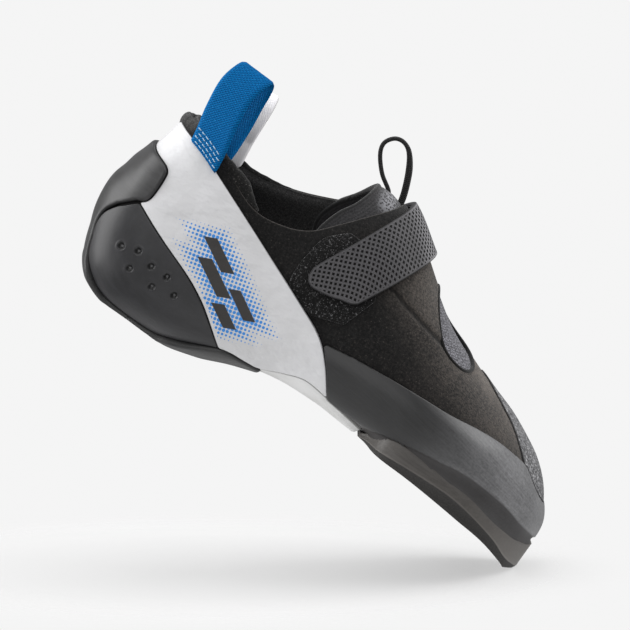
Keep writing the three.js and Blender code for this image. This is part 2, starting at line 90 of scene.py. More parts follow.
def mirrored(end, following):
    row = 2 * end - following
    row[0] = following[0]
    return row


allRows = np.vstack([mirrored(sectionRows[0], sectionRows[1]), sectionRows,
                     mirrored(sectionRows[-1], sectionRows[-2])])


def sectionAt(share):
    spans = len(sectionRows) - 1
    place = np.clip(share, 0, 1) * spans
    first = np.minimum(np.floor(place).astype(int), spans - 1)
    t = (place - first)[..., None]
    a, b, c, d = (allRows[first + k] for k in range(4))
    values = b + 0.5 * t * (c - a + t * (2 * a - 5 * b + 4 * c - d + t * (3 * (b - c) + d - a)))
    return dict(zip(sectionNames, np.moveaxis(values, -1, 0)))


# a point of the last: share runs from heel to toe, angle from the outer side over the top
def lastPoint(share, angle):
    share, angle = np.broadcast_arrays(share, angle)
    s = sectionAt(share)
    across, rise = np.cos(angle), np.sin(angle)
    power = 2 / np.where(rise > 0, s["over"], s["under"])
    reach = np.where(across > 0, s["outer"], s["inner"])
    y = s["ridge"] + (reach - s["ridge"]) * np.abs(across) ** power
    z = s["waist"] + (np.where(rise > 0, s["high"], s["low"]) - s["waist"]) * np.abs(rise) ** power
    flat = np.stack([s["x"] * last["length"], y * last["width"], z * last["height"]], -1)
    return flat + lastOrigin


# grows from 0 to 1 between two values, or falls where the first is the larger
def ramp(values, start, end):
    return np.clip((values - start) / (end - start), 0, 1)


def unit(vectors):
    return vectors / np.maximum(np.linalg.norm(vectors, axis=-1, keepdims=True), 1e-12)


def lastNormal(share, angle):
    step, turn = last["slopeStep"], last["slopeTurn"]
    along = lastPoint(np.minimum(share + step, 1), angle) - lastPoint(np.maximum(share - step, 0), angle)
    around = lastPoint(share, angle + turn) - lastPoint(share, angle - turn)
    return unit(np.cross(along, around))


def shareAtX(x):
    low, high = np.zeros_like(x), np.ones_like(x)
    for _ in range(30):
        middle = (low + high) / 2
        behind = sectionAt(middle)["x"] * last["length"] < x
        low, high = np.where(behind, middle, low), np.where(behind, high, middle)
    return (low + high) / 2


def shareAt(x):
    return float(shareAtX(np.array(x)))


# the distances run along a line of points
def runAlong(points):
    return np.concatenate([[0], np.cumsum(np.linalg.norm(np.diff(points, axis=0), axis=1))])


# the angle at which the outer or inner side has a given height over the floor
def angleAtZ(share, z, outerSide=True):
    s = sectionAt(share)
    z = z / last["height"]
    upperHalf = z > s["waist"]
    reach = np.where(upperHalf, s["high"], s["low"]) - s["waist"]
    exponent = np.where(upperHalf, s["over"], s["under"]) / 2
    rise = np.clip((z - s["waist"]) / reach, 0, 1) ** exponent
    angle = np.where(upperHalf, 1, -1) * np.arcsin(rise)
    return angle if outerSide else math.pi - angle


# the angle at which the top half has a given place across the shoe
def angleAtY(share, y):
    s = sectionAt(share)
    y = y / last["width"]
    outerSide = y < s["ridge"]
    reach = np.where(outerSide, s["outer"], s["inner"]) - s["ridge"]
    across = np.clip((y - s["ridge"]) / reach, 0, 1) ** (s["over"] / 2)
    return np.where(outerSide, np.arccos(across), math.pi - np.arccos(across))


# shares from heel to toe about a step apart on the surface
def evenShares(fromShare, toShare, step):
    fine = np.linspace(fromShare, toShare, 900)
    rays = lastPoint(fine[:, None], np.linspace(0, 2 * math.pi, 9)[None, :-1])
    lengths = np.linalg.norm(np.diff(rays, axis=0), axis=-1).max(axis=1)
    run = np.concatenate([[0], np.cumsum(lengths)])
    count = max(2, round(run[-1] / step))
    return np.interp(np.linspace(0, run[-1], count + 1), run, fine)


# a grid on the last: turn is 0 on the top ridge and grows over the outer side, to 1 at the ridge again
def layGrid(fromShare, toShare, fromTurn, toTurn, step):
    shares = evenShares(fromShare, toShare, step)
    fine = math.pi / 2 - 2 * math.pi * np.linspace(0, 1, 721)
    ring = lastPoint(shares[:, None], fine[None, :])
    lengths = np.concatenate([np.zeros((len(shares), 1)),
                              np.cumsum(np.linalg.norm(np.diff(ring, axis=1), axis=-1), axis=1)], 1)
    girth = lengths[:, -1:]
    count = max(2, round((toTurn - fromTurn) * girth.max() / step))
    turns = np.linspace(fromTurn, toTurn, count + 1)
    whole = np.floor(turns)
    angles = np.array([np.interp(turns - whole, row, fine) - 2 * math.pi * whole
                       for row in lengths / np.maximum(girth, 1e-9)])
    return np.repeat(shares[:, None], len(turns), 1), angles


# the grid of a panel, which runs to the last's ends where its sizes name no place along it
def gridOver(sizes):
    fromShare = shareAt(sizes["from"]) if "from" in sizes else last["ends"]
    toShare = shareAt(sizes["to"]) if "to" in sizes else 1 - last["ends"]
    return layGrid(fromShare, toShare, *sizes["turns"], sizes["step"])


def smoothLine(points, steps=8):
    points = np.array(points, float)
    padded = np.vstack([points[:1], points, points[-1:]])
    t = (np.arange(steps) / steps)[:, None]
    spans = []
    for a, b, c, d in zip(padded, padded[1:], padded[2:], padded[3:]):
        spans.append(b + 0.5 * t * (c - a + t * (2 * a - 5 * b + 4 * c - d + t * (3 * (b - c) + d - a))))
    return np.vstack(spans + [points[-1:]])


# distance of points to an open or closed line, both in two columns
def lineDistance(places, line, closed=False):
    if closed:
        line = np.vstack([line, line[:1]])
    flat = places.reshape(-1, 2)
    best = np.full(len(flat), 1e9)
    for a, b in zip(line, line[1:]):
        span = b - a
        t = np.clip(((flat - a) @ span) / max(span @ span, 1e-12), 0, 1)
        best = np.minimum(best, np.linalg.norm(flat - a - t[:, None] * span, axis=1))
    return best.reshape(places.shape[:-1])


def insideOutline(places, outline):
    flat = places.reshape(-1, 2)
    inside = np.zeros(len(flat), bool)
    for (ax, ay), (bx, by) in zip(outline, np.roll(outline, -1, axis=0)):
        crosses = (ay > flat[:, 1]) != (by > flat[:, 1])
        slope = (bx - ax) / (by - ay if by != ay else 1e-12)
        inside ^= crosses & (flat[:, 0] < ax + slope * (flat[:, 1] - ay))
    return inside.reshape(places.shape[:-1])


# how far inside an outline each point lies, below 0 outside it
def outlineField(places, outline):
    distance = lineDistance(places, outline, closed=True)
    return np.where(insideOutline(places, outline), distance, -distance)


beyond = {"top": 1.6, "below": -0.4, "behind": -0.1}


def closedAbove(line):
    return np.vstack([line, [[line[-1][0], beyond["top"]], [line[0][0], beyond["top"]]]])


def closedBelow(line):
    return np.vstack([line, [[line[-1][0], beyond["below"]], [line[0][0], beyond["below"]]]])


sideScale = np.array([last["length"], last["height"]])
planScale = np.array([last["length"], last["width"]])


def sidePlaces(share, angle):
    return (lastPoint(share, angle) - lastOrigin)[..., [0, 2]]


def planPlaces(share, angle):
    return (lastPoint(share, angle) - lastOrigin)[..., [0, 1]]


# a side view field stretched so that it measures along the curved surface
def onSurface(field, share, angle):
    points = lastPoint(share, angle)
    du, dv = np.gradient(points, axis=0), np.gradient(points, axis=1)
    fu, fv = np.gradient(field, axis=0), np.gradient(field, axis=1)
    uu, uv, vv = (du * du).sum(-1), (du * dv).sum(-1), (dv * dv).sum(-1)
    area = np.maximum(uu * vv - uv * uv, 1e-16)
    slope = np.sqrt(np.maximum((vv * fu * fu - 2 * uv * fu * fv + uu * fv * fv) / area, 0))
    return field / np.clip(slope, 0.25, 1.0)


print("last ready, origin at", [round(float(v), 5) for v in lastOrigin])


# cuts a grid of quads along the line where its field is 0 and keeps the part above it;
# a grid that goes right round the last is sewn up along its seam and closed at heel and toe
def clipGrid(share, angle, field):
    ring = abs(angle[0, 0] - angle[0, -1]) > 2 * math.pi - 0.01
    if ring:
        share, angle, field = share[:, :-1], angle[:, :-1], field[:, :-1]
    rows, columns = field.shape
    ids = np.arange(rows * columns).reshape(rows, columns)
    left, right = (ids, np.roll(ids, -1, axis=1)) if ring else (ids[:, :-1], ids[:, 1:])
    flatField = field.ravel()
    corners = np.stack([left[:-1], right[:-1], right[1:], left[1:]], -1).reshape(-1, 4)
    inside = flatField[corners] > 0
    faces = [tuple(quad) for quad in corners[inside.all(axis=1)].tolist()]
    if ring and (field[0] > 0).all():
        faces.append(tuple(ids[0, ::-1].tolist()))
    if ring and (field[-1] > 0).all():
        faces.append(tuple(ids[-1].tolist()))
    cuts, cutIds = [], {}
    for quad in corners[inside.any(axis=1) & ~inside.all(axis=1)].tolist():
        kept = []
        for a, b in zip(quad, quad[1:] + quad[:1]):
            if flatField[a] > 0:
                kept.append(a)
            if (flatField[a] > 0) != (flatField[b] > 0):
                key = (min(a, b), max(a, b))
                if key not in cutIds:
                    cutIds[key] = rows * columns + len(cuts)
                    cuts.append((*key, flatField[key[0]] / (flatField[key[0]] - flatField[key[1]])))
                kept.append(cutIds[key])
        if len(kept) > 2:
            faces.append(tuple(kept))
    flatShare, flatAngle = share.ravel(), angle.ravel()
    if cuts:
        a, b, t = (np.array(column) for column in zip(*cuts))
        t = np.clip(t, 0.02, 0.98)
        a, b = a.astype(int), b.astype(int)
        turned = flatAngle[b] + 2 * math.pi * np.round((flatAngle[a] - flatAngle[b]) / (2 * math.pi))
        flatShare = np.concatenate([flatShare, flatShare[a] * (1 - t) + flatShare[b] * t])
        flatAngle = np.concatenate([flatAngle, flatAngle[a] * (1 - t) + turned * t])
        flatField = np.concatenate([flatField, np.zeros(len(cuts))])
    used = np.unique(np.concatenate([np.array(face) for face in faces]))
    renumber = np.full(len(flatShare), -1)
    renumber[used] = np.arange(len(used))
    faces = [tuple(int(renumber[corner]) for corner in face) for face in faces]
    return flatShare[used], flatAngle[used], flatField[used], faces


def borderEdges(faces):
    edges = {}
    for face in faces:
        for a, b in zip(face, face[1:] + face[:1]):
            edges[(a, b)] = True
    return [(a, b) for a, b in edges if (b, a) not in edges]


def meshPiece(name, points, faces, finish, chart=None, smooth=True):
    mesh = bpy.data.meshes.new(name)
    mesh.from_pydata([tuple(p) for p in np.asarray(points).tolist()], [], faces)
    if chart is not None:
        lay = mesh.attributes.new("lay", "FLOAT_VECTOR", "POINT")
        lay.data.foreach_set("vector", np.asarray(chart, np.float32).ravel())
    mesh.polygons.foreach_set("use_smooth", [smooth] * len(mesh.polygons))
    mesh.materials.append(finish)
    mesh.validate()
    piece = bpy.data.objects.new(name, mesh)
    bpy.context.scene.collection.objects.link(piece)
    return piece


def dress(piece, slot, *nodes):
    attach(piece, "root")
    if nodes:
        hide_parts(*nodes)
    print("made", piece.name, "with", len(piece.data.polygons), "faces")
    return piece


# a closed panel between two offsets from the last, with its top edge rounded;
# the chart holds the distances along and around, and the distance in from the edge
def panel(name, finish, grid, field, low, high, rounding=0.6 * mm, chart=None, settle=None):
    share, angle = grid
    share, angle, depth, faces = clipGrid(share, angle, field(share, angle) - rounding)
    count = len(share)
    points, normals = lastPoint(share, angle), lastNormal(share, angle)
    depth = depth + rounding
    lowOffset = low(share, angle, depth) if callable(low) else np.full(count, low)
    highOffset = high(share, angle, depth) if callable(high) else np.full(count, high)
    flow = chart(share, angle) if chart else (points - lastOrigin)[:, [0, 2]]
    lay = np.column_stack([flow, depth])
    top = points + normals * highOffset[:, None]
    bottom = points + normals * lowOffset[:, None]
    allPoints, allLay = [top, bottom], [lay, lay]
    allFaces = faces + [tuple(corner + count for corner in reversed(face)) for face in faces]
    border = borderEdges(faces)
    if border:
        outward = np.zeros((count, 3))
        for a, b in border:
            way = np.cross(points[b] - points[a], normals[a])
            outward[a] += way
            outward[b] += way
        rim = sorted({a for a, b in border} | {b for a, b in border})
        place = {corner: k for k, corner in enumerate(rim)}
        outward = unit(outward[rim])
        thick = highOffset[rim] - lowOffset[rim]
        bend = np.minimum(rounding, thick * 0.9)[:, None]
        base, up = points[rim], normals[rim]
        rings = []
        for turn in (30, 60, 90):
            lift = highOffset[rim][:, None] - bend * (1 - math.cos(math.radians(turn)))
            rings.append(base + up * lift + outward * rounding * math.sin(math.radians(turn)))
        rings.append(base + up * lowOffset[rim][:, None] + outward * rounding)
        starts = [None] + [2 * count + k * len(rim) for k in range(len(rings))] + [None]
        for k, ring in enumerate(rings):
            allPoints.append(ring)
            edge = lay[rim].copy()
            edge[:, 2] = max(0, rounding * (1 - (k + 1) / 3))
            allLay.append(edge)

        def corner(level, vertex):
            if level == 0:
                return vertex
            if level == len(rings) + 1:
                return vertex + count
            return starts[level] + place[vertex]
        for level in range(len(rings) + 1):
            for a, b in border:
                allFaces.append((corner(level, b), corner(level, a),
                                 corner(level + 1, a), corner(level + 1, b)))
    placed = np.vstack(allPoints)
    return meshPiece(name, settle(placed) if settle else placed, allFaces, finish, np.vstack(allLay))


# a tube of round or flat section along a line of points
def tube(path, radius, sides=8, flat=1.0, up=Vector((0, 1, 0)), closed=False):
    path = [Vector(p) for p in path]
    points, faces = [], []
    for i, place in enumerate(path):
        before = path[i - 1] if i or closed else path[0]
        after = path[(i + 1) % len(path)] if i + 1 < len(path) or closed else path[-1]
        way = (after - before).normalized()
        across = way.cross(up).normalized()
        over = across.cross(way)
        size = radius[i] if hasattr(radius, "__len__") else radius
        wide = size * float(flat[i] if hasattr(flat, "__len__") else flat)
        for k in range(sides):
            turn = 2 * math.pi * k / sides
            points.append(place + across * math.cos(turn) * wide + over * math.sin(turn) * size)
    loops = len(path) if closed else len(path) - 1
    for i in range(loops):
        near, far = (range(row * sides, (row + 1) * sides) for row in (i, (i + 1) % len(path)))
        faces += ringFaces(near, far)
    if not closed:
        faces.append(tuple(range(sides)))
        faces.append(tuple(reversed(range((len(path) - 1) * sides, len(path) * sides))))
    return points, faces


# quads between two rings of corners
def ringFaces(near, far):
    return list(zip(near, far, [*far[1:], far[0]], [*near[1:], near[0]]))


def joined(parts):
    points, faces = [], []
    for morePoints, moreFaces in parts:
        faces += [tuple(corner + len(points) for corner in face) for face in moreFaces]
        points += [tuple(p) for p in morePoints]
    return points, faces


def evenLine(line, step):
    line = np.array([tuple(p) for p in line], float)
    run = runAlong(line)
    count = max(1, round(run[-1] / step))
    places = np.linspace(0, run[-1], count + 1)
    return np.stack([np.interp(places, run, line[:, k]) for k in range(3)], -1)


# a line given in the side view, laid on the outer or inner side at an offset
def onSide(line, offset, outerSide=True):
    line = np.array(line, float)
    share = shareAtX(line[:, 0])
    angle = angleAtZ(share, line[:, 1], outerSide)
    return lastPoint(share, angle) + lastNormal(share, angle) * offset


# a line given in plan, laid over the top at an offset
def onTop(line, offset):
    line = np.array(line, float)
    share = shareAtX(line[:, 0])
    angle = angleAtY(share, line[:, 1])
    return lastPoint(share, angle) + lastNormal(share, angle) * offset


# one shader socket, so that shader maths can be written as an expression
class Signal:
    def __init__(self, finish, socket):
        self.finish = finish
        self.socket = socket

    def sums(self, operation, *values):
        return self.finish.node("ShaderNodeMath", {"operation": operation}, dict(enumerate(values)))

    def __add__(self, other):
        return self.sums("ADD", self, other)

    def __sub__(self, other):
        return self.sums("SUBTRACT", self, other)

    def __mul__(self, other):
        return self.sums("MULTIPLY", self, other)

    def __truediv__(self, other):
        return self.sums("DIVIDE", self, other)

    def __pow__(self, other):
        return self.sums("POWER", self, other)

    def __lt__(self, other):
        return self.sums("LESS_THAN", self, other)

    def __rsub__(self, other):
        return self.sums("SUBTRACT", other, self)

    __radd__ = __add__
    __rmul__ = __mul__

    def clipped(self):
        return self.finish.node("ShaderNodeClamp", {}, {"Value": self})

    def least(self, other):
        return self.sums("MINIMUM", self, other)

    def most(self, other):
        return self.sums("MAXIMUM", self, other)

    def wave(self):
        return self.sums("SINE", self)

    def size(self):
        return self.sums("ABSOLUTE", self)

    def part(self):
        return self.sums("FRACT", self)

    def between(self, low, high):
        settings = {"interpolation_type": "SMOOTHSTEP"}
        return self.finish.node("ShaderNodeMapRange", settings, {"Value": self, 1: low, 2: high})


# a colour given as 0 to 255 screen values, or a grey as one
def tone(red, green=None, blue=None):
    def linear(value):
        value /= 255
        return value / 12.92 if value <= 0.04045 else ((value + 0.055) / 1.055) ** 2.4
    return (linear(red), linear(red if green is None else green), linear(red if blue is None else blue), 1)


class Finish:
    def __init__(self, name, **fixed):
        self.material = bpy.data.materials.new(name)
        self.material.use_nodes = True
        self.tree = self.material.node_tree
        self.shader = self.tree.nodes["Principled BSDF"]
        for socket, value in fixed.items():
            self.shader.inputs[socket.replace("_", " ")].default_value = value

    def node(self, kind, settings=None, inputs=None, output=0):
        node = self.tree.nodes.new(kind)
        for key, value in (settings or {}).items():
            setattr(node, key, value)
        for key, value in (inputs or {}).items():
            self.feed(node.inputs[key], value)
        return Signal(self, node.outputs[output])

    def feed(self, socket, value):
        if isinstance(value, Signal):
            self.tree.links.new(value.socket, socket)
        else:
            socket.default_value = value

    def place(self):
        return self.node("ShaderNodeTexCoord", output="Object")

    def lay(self):
        return self.node("ShaderNodeAttribute", {"attribute_name": "lay"}, output="Vector")

    def axis(self, vector, name):
        return self.node("ShaderNodeSeparateXYZ", {}, {0: vector}, output=name)

    def stretched(self, vector, scale, turn=(0, 0, 0)):
        inputs = {"Vector": vector, "Rotation": turn, "Scale": scale}
        return self.node("ShaderNodeMapping", {}, inputs)

    def noise(self, vector, scale, detail=3, roughness=0.5):
        inputs = {"Vector": vector, "Scale": scale, "Detail": detail, "Roughness": roughness}
        return self.node("ShaderNodeTexNoise", {}, inputs, output="Fac")

    def cells(self, vector, scale, jitter=1.0):
        inputs = {"Vector": vector, "Scale": scale, "Randomness": jitter}
        return self.node("ShaderNodeTexVoronoi", {}, inputs, output="Distance")

    def blend(self, factor, first, second):
        settings = {"data_type": "RGBA"}
        return self.node("ShaderNodeMix", settings, {0: factor, 6: first, 7: second}, output=2)

    def bump(self, height, distance, strength=1.0, normal=None):
        inputs = {"Height": height, "Distance": distance, "Strength": strength}
        if normal:
            inputs["Normal"] = normal
        return self.node("ShaderNodeBump", {}, inputs)

    def done(self, colour, roughness=None, normal=None):
        self.feed(self.shader.inputs["Base Color"], colour)
        if roughness is not None:
            self.feed(self.shader.inputs["Roughness"], roughness)
        if normal is not None:
            self.feed(self.shader.inputs["Normal"], normal)
        return self.material


# camera at the photograph's angle, rolled with it
camera = {"azimuth": -4.886, "elevation": 8.627, "roll": 34.839, "distance": 1300 * mm,
          "lookAt": (109.95 * mm, 0, 46.19 * mm), "focalPixels": 2959.6, "framePixels": 630,
          "sensor": 36}


def cameraAxes():
    a, e, r = (math.radians(camera[key]) for key in ("azimuth", "elevation", "roll"))
    back = Vector((math.sin(a) * math.cos(e), -math.cos(a) * math.cos(e), math.sin(e)))
    right = Vector((math.cos(a), math.sin(a), 0))
    up = back.cross(right)
    return right * math.cos(r) + up * math.sin(r), up * math.cos(r) - right * math.sin(r), back


def placeCamera():
    data = bpy.data.cameras.new("camera")
    data.sensor_width = camera["sensor"]
    data.lens = camera["sensor"] * camera["focalPixels"] / camera["framePixels"]
    eye = bpy.data.objects.new("camera", data)
    target = Vector(camera["lookAt"]) + Vector(lastOrigin)
    imageRight, imageUp, back = cameraAxes()
    turned = Matrix((imageRight, imageUp, back)).transposed().to_4x4()
    eye.matrix_world = Matrix.Translation(target + back * camera["distance"]) @ turned
    bpy.context.scene.collection.objects.link(eye)
    bpy.context.scene.camera = eye


placeCamera()
bpy.context.scene.view_settings.view_transform = "Standard"
print("camera placed")

# side view lines, x as shares of the length and z of the height
lines = {
    "outerRim": [[0.070, 0.820], [0.120, 0.790], [0.175, 0.730], [0.220, 0.682], [0.260, 0.666],
                 [0.310, 0.688], [0.345, 0.730], [0.375, 0.800], [0.410, 0.885], [0.445, 0.965],
                 [0.475, 1.040]],
    "innerRim": [[0.070, 0.820], [0.120, 0.775], [0.175, 0.735], [0.230, 0.732], [0.290, 0.768],
                 [0.345, 0.818], [0.400, 0.882], [0.440, 0.956], [0.475, 1.040]],
    "bandFront": [[0.070, 0.760], [0.115, 0.735], [0.160, 0.695], [0.240, 0.620], [0.320, 0.543],
                  [0.400, 0.467], [0.452, 0.412], [0.490, 0.338], [0.528, 0.231]],
    "bandRear": [[0.076, 0.437], [0.136, 0.377], [0.212, 0.310], [0.256, 0.258], [0.292, 0.200],
                 [0.324, 0.143]],
    "bandUnder": [[0.324, 0.143], [0.396, 0.156], [0.440, 0.205], [0.480, 0.240], [0.528, 0.231]],
    "stripEdge": [[0.048, 0.380], [0.037, 0.330], [0.036, 0.275], [0.044, 0.217], [0.064, 0.122],
                  [0.116, 0.044], [0.204, 0.035], [0.252, 0.064], [0.317, 0.132], [0.344, 0.150],
                  [0.370, 0.153], [0.408, 0.156]],
    "stripLobe": [[0.030, 0.640], [0.060, 0.620], [0.082, 0.603], [0.088, 0.568], [0.086, 0.470],
                  [0.070, 0.437]],
    "archTop": [[0.528, 0.226], [0.570, 0.214], [0.610, 0.196]],
    "randTop": [[0.462, 0.394], [0.520, 0.415], [0.600, 0.434], [0.660, 0.441], [0.711, 0.443],
                [0.770, 0.449], [0.816, 0.445], [0.852, 0.431], [0.888, 0.408], [0.930, 0.345],
                [0.959, 0.305], [1.020, 0.225]],
    "soleTop": [[0.612, 0.162], [0.618, 0.173], [0.628, 0.191], [0.645, 0.225], [0.662, 0.244],
                [0.680, 0.249], [0.710, 0.247],
                [0.760, 0.241], [0.824, 0.223], [0.876, 0.190], [0.920, 0.160], [0.960, 0.135],
                [1.010, 0.116]],
    "soleBevel": [[0.612, 0.151], [0.650, 0.169], [0.700, 0.180], [0.760, 0.184], [0.800, 0.180],
                  [0.840, 0.162], [0.880, 0.134], [0.920, 0.099], [0.960, 0.050], [1.010, 0.008]],
    "soleBottom": [[0.612, 0.144], [0.664, 0.143], [0.708, 0.140], [0.752, 0.132], [0.800, 0.118],
                   [0.840, 0.102], [0.880, 0.083], [0.914, 0.060], [0.945, 0.031], [0.962, 0.012],
                   [0.974, -0.002], [1.010, -0.010]],
    "insoleEdge": [[0.080, 0.240], [0.160, 0.160], [0.260, 0.170], [0.360, 0.240], [0.520, 0.290],
                   [0.700, 0.275], [0.850, 0.215], [0.940, 0.175]],
    "tongueRear": [[0.420, 0.600], [0.365, 0.660], [0.350, 0.740], [0.362, 0.840], [0.385, 0.930],
                   [0.412, 1.100]],
    "tongueFront": [[0.690, 1.100], [0.690, 0.560], [0.560, 0.560]],
    "patchRear": [[0.400, 0.800], [0.368, 0.730], [0.360, 0.650], [0.357, 0.590], [0.362, 0.510],
                  [0.395, 0.468], [0.420, 0.455]],
    "patchFront": [[0.478, 0.500], [0.500, 0.640], [0.470, 0.800]],
    "strapRear": [[0.450, 0.570], [0.432, 0.558], [0.404, 0.549], [0.391, 0.553], [0.383, 0.571],
                  [0.381, 0.598], [0.390, 0.660],
                  [0.476, 1.030], [0.490, 1.150]],
    "strapFront": [[0.450, 0.570], [0.474, 0.586], [0.490, 0.640], [0.556, 0.910], [0.620, 1.150]],
}
# plan lines, x as shares of the length and y of the width
lines["throat"] = [[0.400, -0.080], [0.400, 0.160], [0.500, 0.140], [0.585, 0.120], [0.585, 0.050],
                   [0.500, 0.030]]
lines["window"] = [[0.598, 0.150], [0.590, 0.060], [0.600, -0.120], [0.632, -0.235], [0.662, -0.262],
                   [0.702, -0.215], [0.718, -0.080], [0.700, 0.080], [0.650, 0.170], [0.598, 0.150]]
lines["toePatch"] = [[0.745, 0.180], [0.772, 0.055], [0.812, -0.045], [0.860, -0.140],
                     [0.900, -0.195], [0.925, -0.230], [0.960, -0.240], [1.020, -0.150],
                     [1.020, 0.560], [0.760, 0.560]]
smooth = {name: smoothLine(points) for name, points in lines.items()
          if name not in ("tongueFront", "patchFront", "throat", "toePatch")}
smooth["throat"], smooth["toePatch"] = np.array(lines["throat"]), np.array(lines["toePatch"])


def outline(*parts, plan=False):
    return np.vstack([np.asarray(part, float) for part in parts]) * (planScale if plan else sideScale)


beyondHeel = [[beyond["behind"], 0.82]]
outlines = {
    "aboveOuterRim": outline(closedAbove(np.vstack([beyondHeel, smooth["outerRim"]]))),
    "aboveInnerRim": outline(closedAbove(np.vstack([beyondHeel, smooth["innerRim"]]))),
    "throat": outline(smooth["throat"], plan=True),
    "window": outline(smooth["window"], plan=True),
    "band": outline(smooth["bandFront"], smooth["bandUnder"][::-1], smooth["bandRear"][::-1],
                    [[beyond["behind"], 0.437], [beyond["behind"], 0.760]]),
    "strip": outline(smooth["stripLobe"], smooth["stripEdge"],
                     [[0.408, beyond["below"]], [beyond["behind"], beyond["below"]],
                      [beyond["behind"], 0.640]]),
    "cup": outline(smooth["bandRear"],
                   smooth["stripEdge"][smooth["stripEdge"][:, 0] < 0.324][::-1]),
    "arch": outline(smooth["bandUnder"], smooth["archTop"][1:],
                    [[0.610, beyond["below"]], [0.324, beyond["below"]]]),
    "belowRand": outline(closedBelow(smooth["randTop"])),
    "belowSole": outline(closedBelow(smooth["soleTop"])),
    "belowInsole": outline(closedBelow(smooth["insoleEdge"])),
    "tongue": outline(smooth["tongueRear"], lines["tongueFront"]),
    "patch": outline(smooth["patchRear"], lines["patchFront"]),
    "strap": outline(smooth["strapRear"], smooth["strapFront"][::-1]),
    "toePatch": outline(smooth["toePatch"], plan=True),
}


# how deep inside an outline the points lie, measured on the surface for a whole grid
def depthIn(name, share, angle, plan=False):
    places = planPlaces(share, angle) if plan else sidePlaces(share, angle)
    field = outlineField(places, outlines[name])
    return onSurface(field, share, angle) if share.ndim == 2 else field


def depthOut(*values, **words):
    return -depthIn(*values, **words)


def fieldAboveRims(share, angle):
    outerSide = lastPoint(share, angle)[..., 1] < lastOrigin[1]
    outer = depthOut("aboveOuterRim", share, angle)
    inner = depthOut("aboveInnerRim", share, angle)
    return np.where(outerSide, outer, inner)


def upperField(share, angle):
    onTopHalf = np.sin(angle) > 0
    throat = np.where(onTopHalf, depthOut("throat", share, angle, plan=True), 1)
    window = np.where(onTopHalf, depthOut("window", share, angle, plan=True), 1)
    return np.minimum(np.minimum(throat, window), fieldAboveRims(share, angle))


# brushed leather: nap, specks and soft clouds, with painted light on the nap: a lighter sheen where a place
# faces up, and a browner front with a darker heel end; the chart holds the seam's distance, how far a place
# faces up for the painted sheen, and the depth from the edge
def suedeFinish(name, dark, light, speck, napAndSheenTone, fluff=1.0, edgeShare=0.15, rearTones=None,
                speckFrom=0.58):
    finish = Finish(name, Specular_IOR_Level=0.12, Sheen_Weight=0.22, Sheen_Roughness=0.5)
    place = finish.place()
    lay = finish.lay()
    fine = finish.noise(place, 2300, 2, 0.6)
    brushed = finish.noise(finish.stretched(place, (260, 900, 900), (0, 0.5, 0)), 1, 4, 0.65)
    clouds = finish.noise(place, 42, 3, 0.55)
    mottled = finish.noise(place, 950, 3, 0.75)
    mix = (fine - 0.5) * 1.6 + (mottled - 0.5) * 3.2 + (brushed - 0.5) * 0.7 + (clouds - 0.5) * 0.9 + 0.4
    colour = finish.blend(mix.clipped(), dark, light)
    # painted light: the front keeps the browner nap lit by grazing light, the heel end is painted darker
    # and greyer
    if rearTones:
        forward = finish.axis(place, "X").between(-5 * mm, 80 * mm)
        colour = finish.blend(forward, finish.blend(mix.clipped(), *rearTones), colour)
    # painted highlight: places that face up are lightened towards the nap sheen tone
    raised = finish.axis(lay, "Y") * (0.5 + (clouds - 0.5) * 1.2 + (mottled - 0.5) * 3.0)
    colour = finish.blend(raised.clipped(), colour, napAndSheenTone)
    specks = (fine * 0.5 + mottled * 0.5).between(speckFrom, speckFrom + 0.1)
    colour = finish.blend(specks * 0.4 * fluff, colour, speck)
    seam = 1 - finish.axis(lay, "X").between(0.3 * mm, 1.1 * mm)
    colour = finish.blend(seam * 0.8, colour, tone(12, 11, 11))
    edge = 1 - finish.axis(lay, "Z").between(0.1 * mm, 0.7 * mm)
    colour = finish.blend(edge * edgeShare, colour, napAndSheenTone)
    height = fine * 0.6 + brushed * 0.5
    return finish.done(colour, 0.86 + 0.1 * fine, finish.bump(height, 0.4 * mm * fluff, 0.8))


def clothFinish(name, dark, light, pitch=0.9 * mm, rise=0.25 * mm, contrast=0.6):
    finish = Finish(name, Specular_IOR_Level=0.15, Sheen_Weight=0.2, Sheen_Roughness=0.5)
    place = finish.place()
    loops = finish.cells(place, 1 / pitch, 0.6)
    fluff = finish.noise(place, 1.1 / pitch, 2, 0.7)
    mix = loops.between(0.15, 0.6) * contrast + (fluff - 0.5) * 1.6
    colour = finish.blend((mix + 0.15).clipped(), light, dark)
    edge = 1 - finish.axis(finish.lay(), "Z").between(0.1 * mm, 0.6 * mm)
    colour = finish.blend(edge * 0.7, colour, dark)
    return finish.done(colour, 0.9, finish.bump(fluff * 0.7 - loops, rise, 0.8))


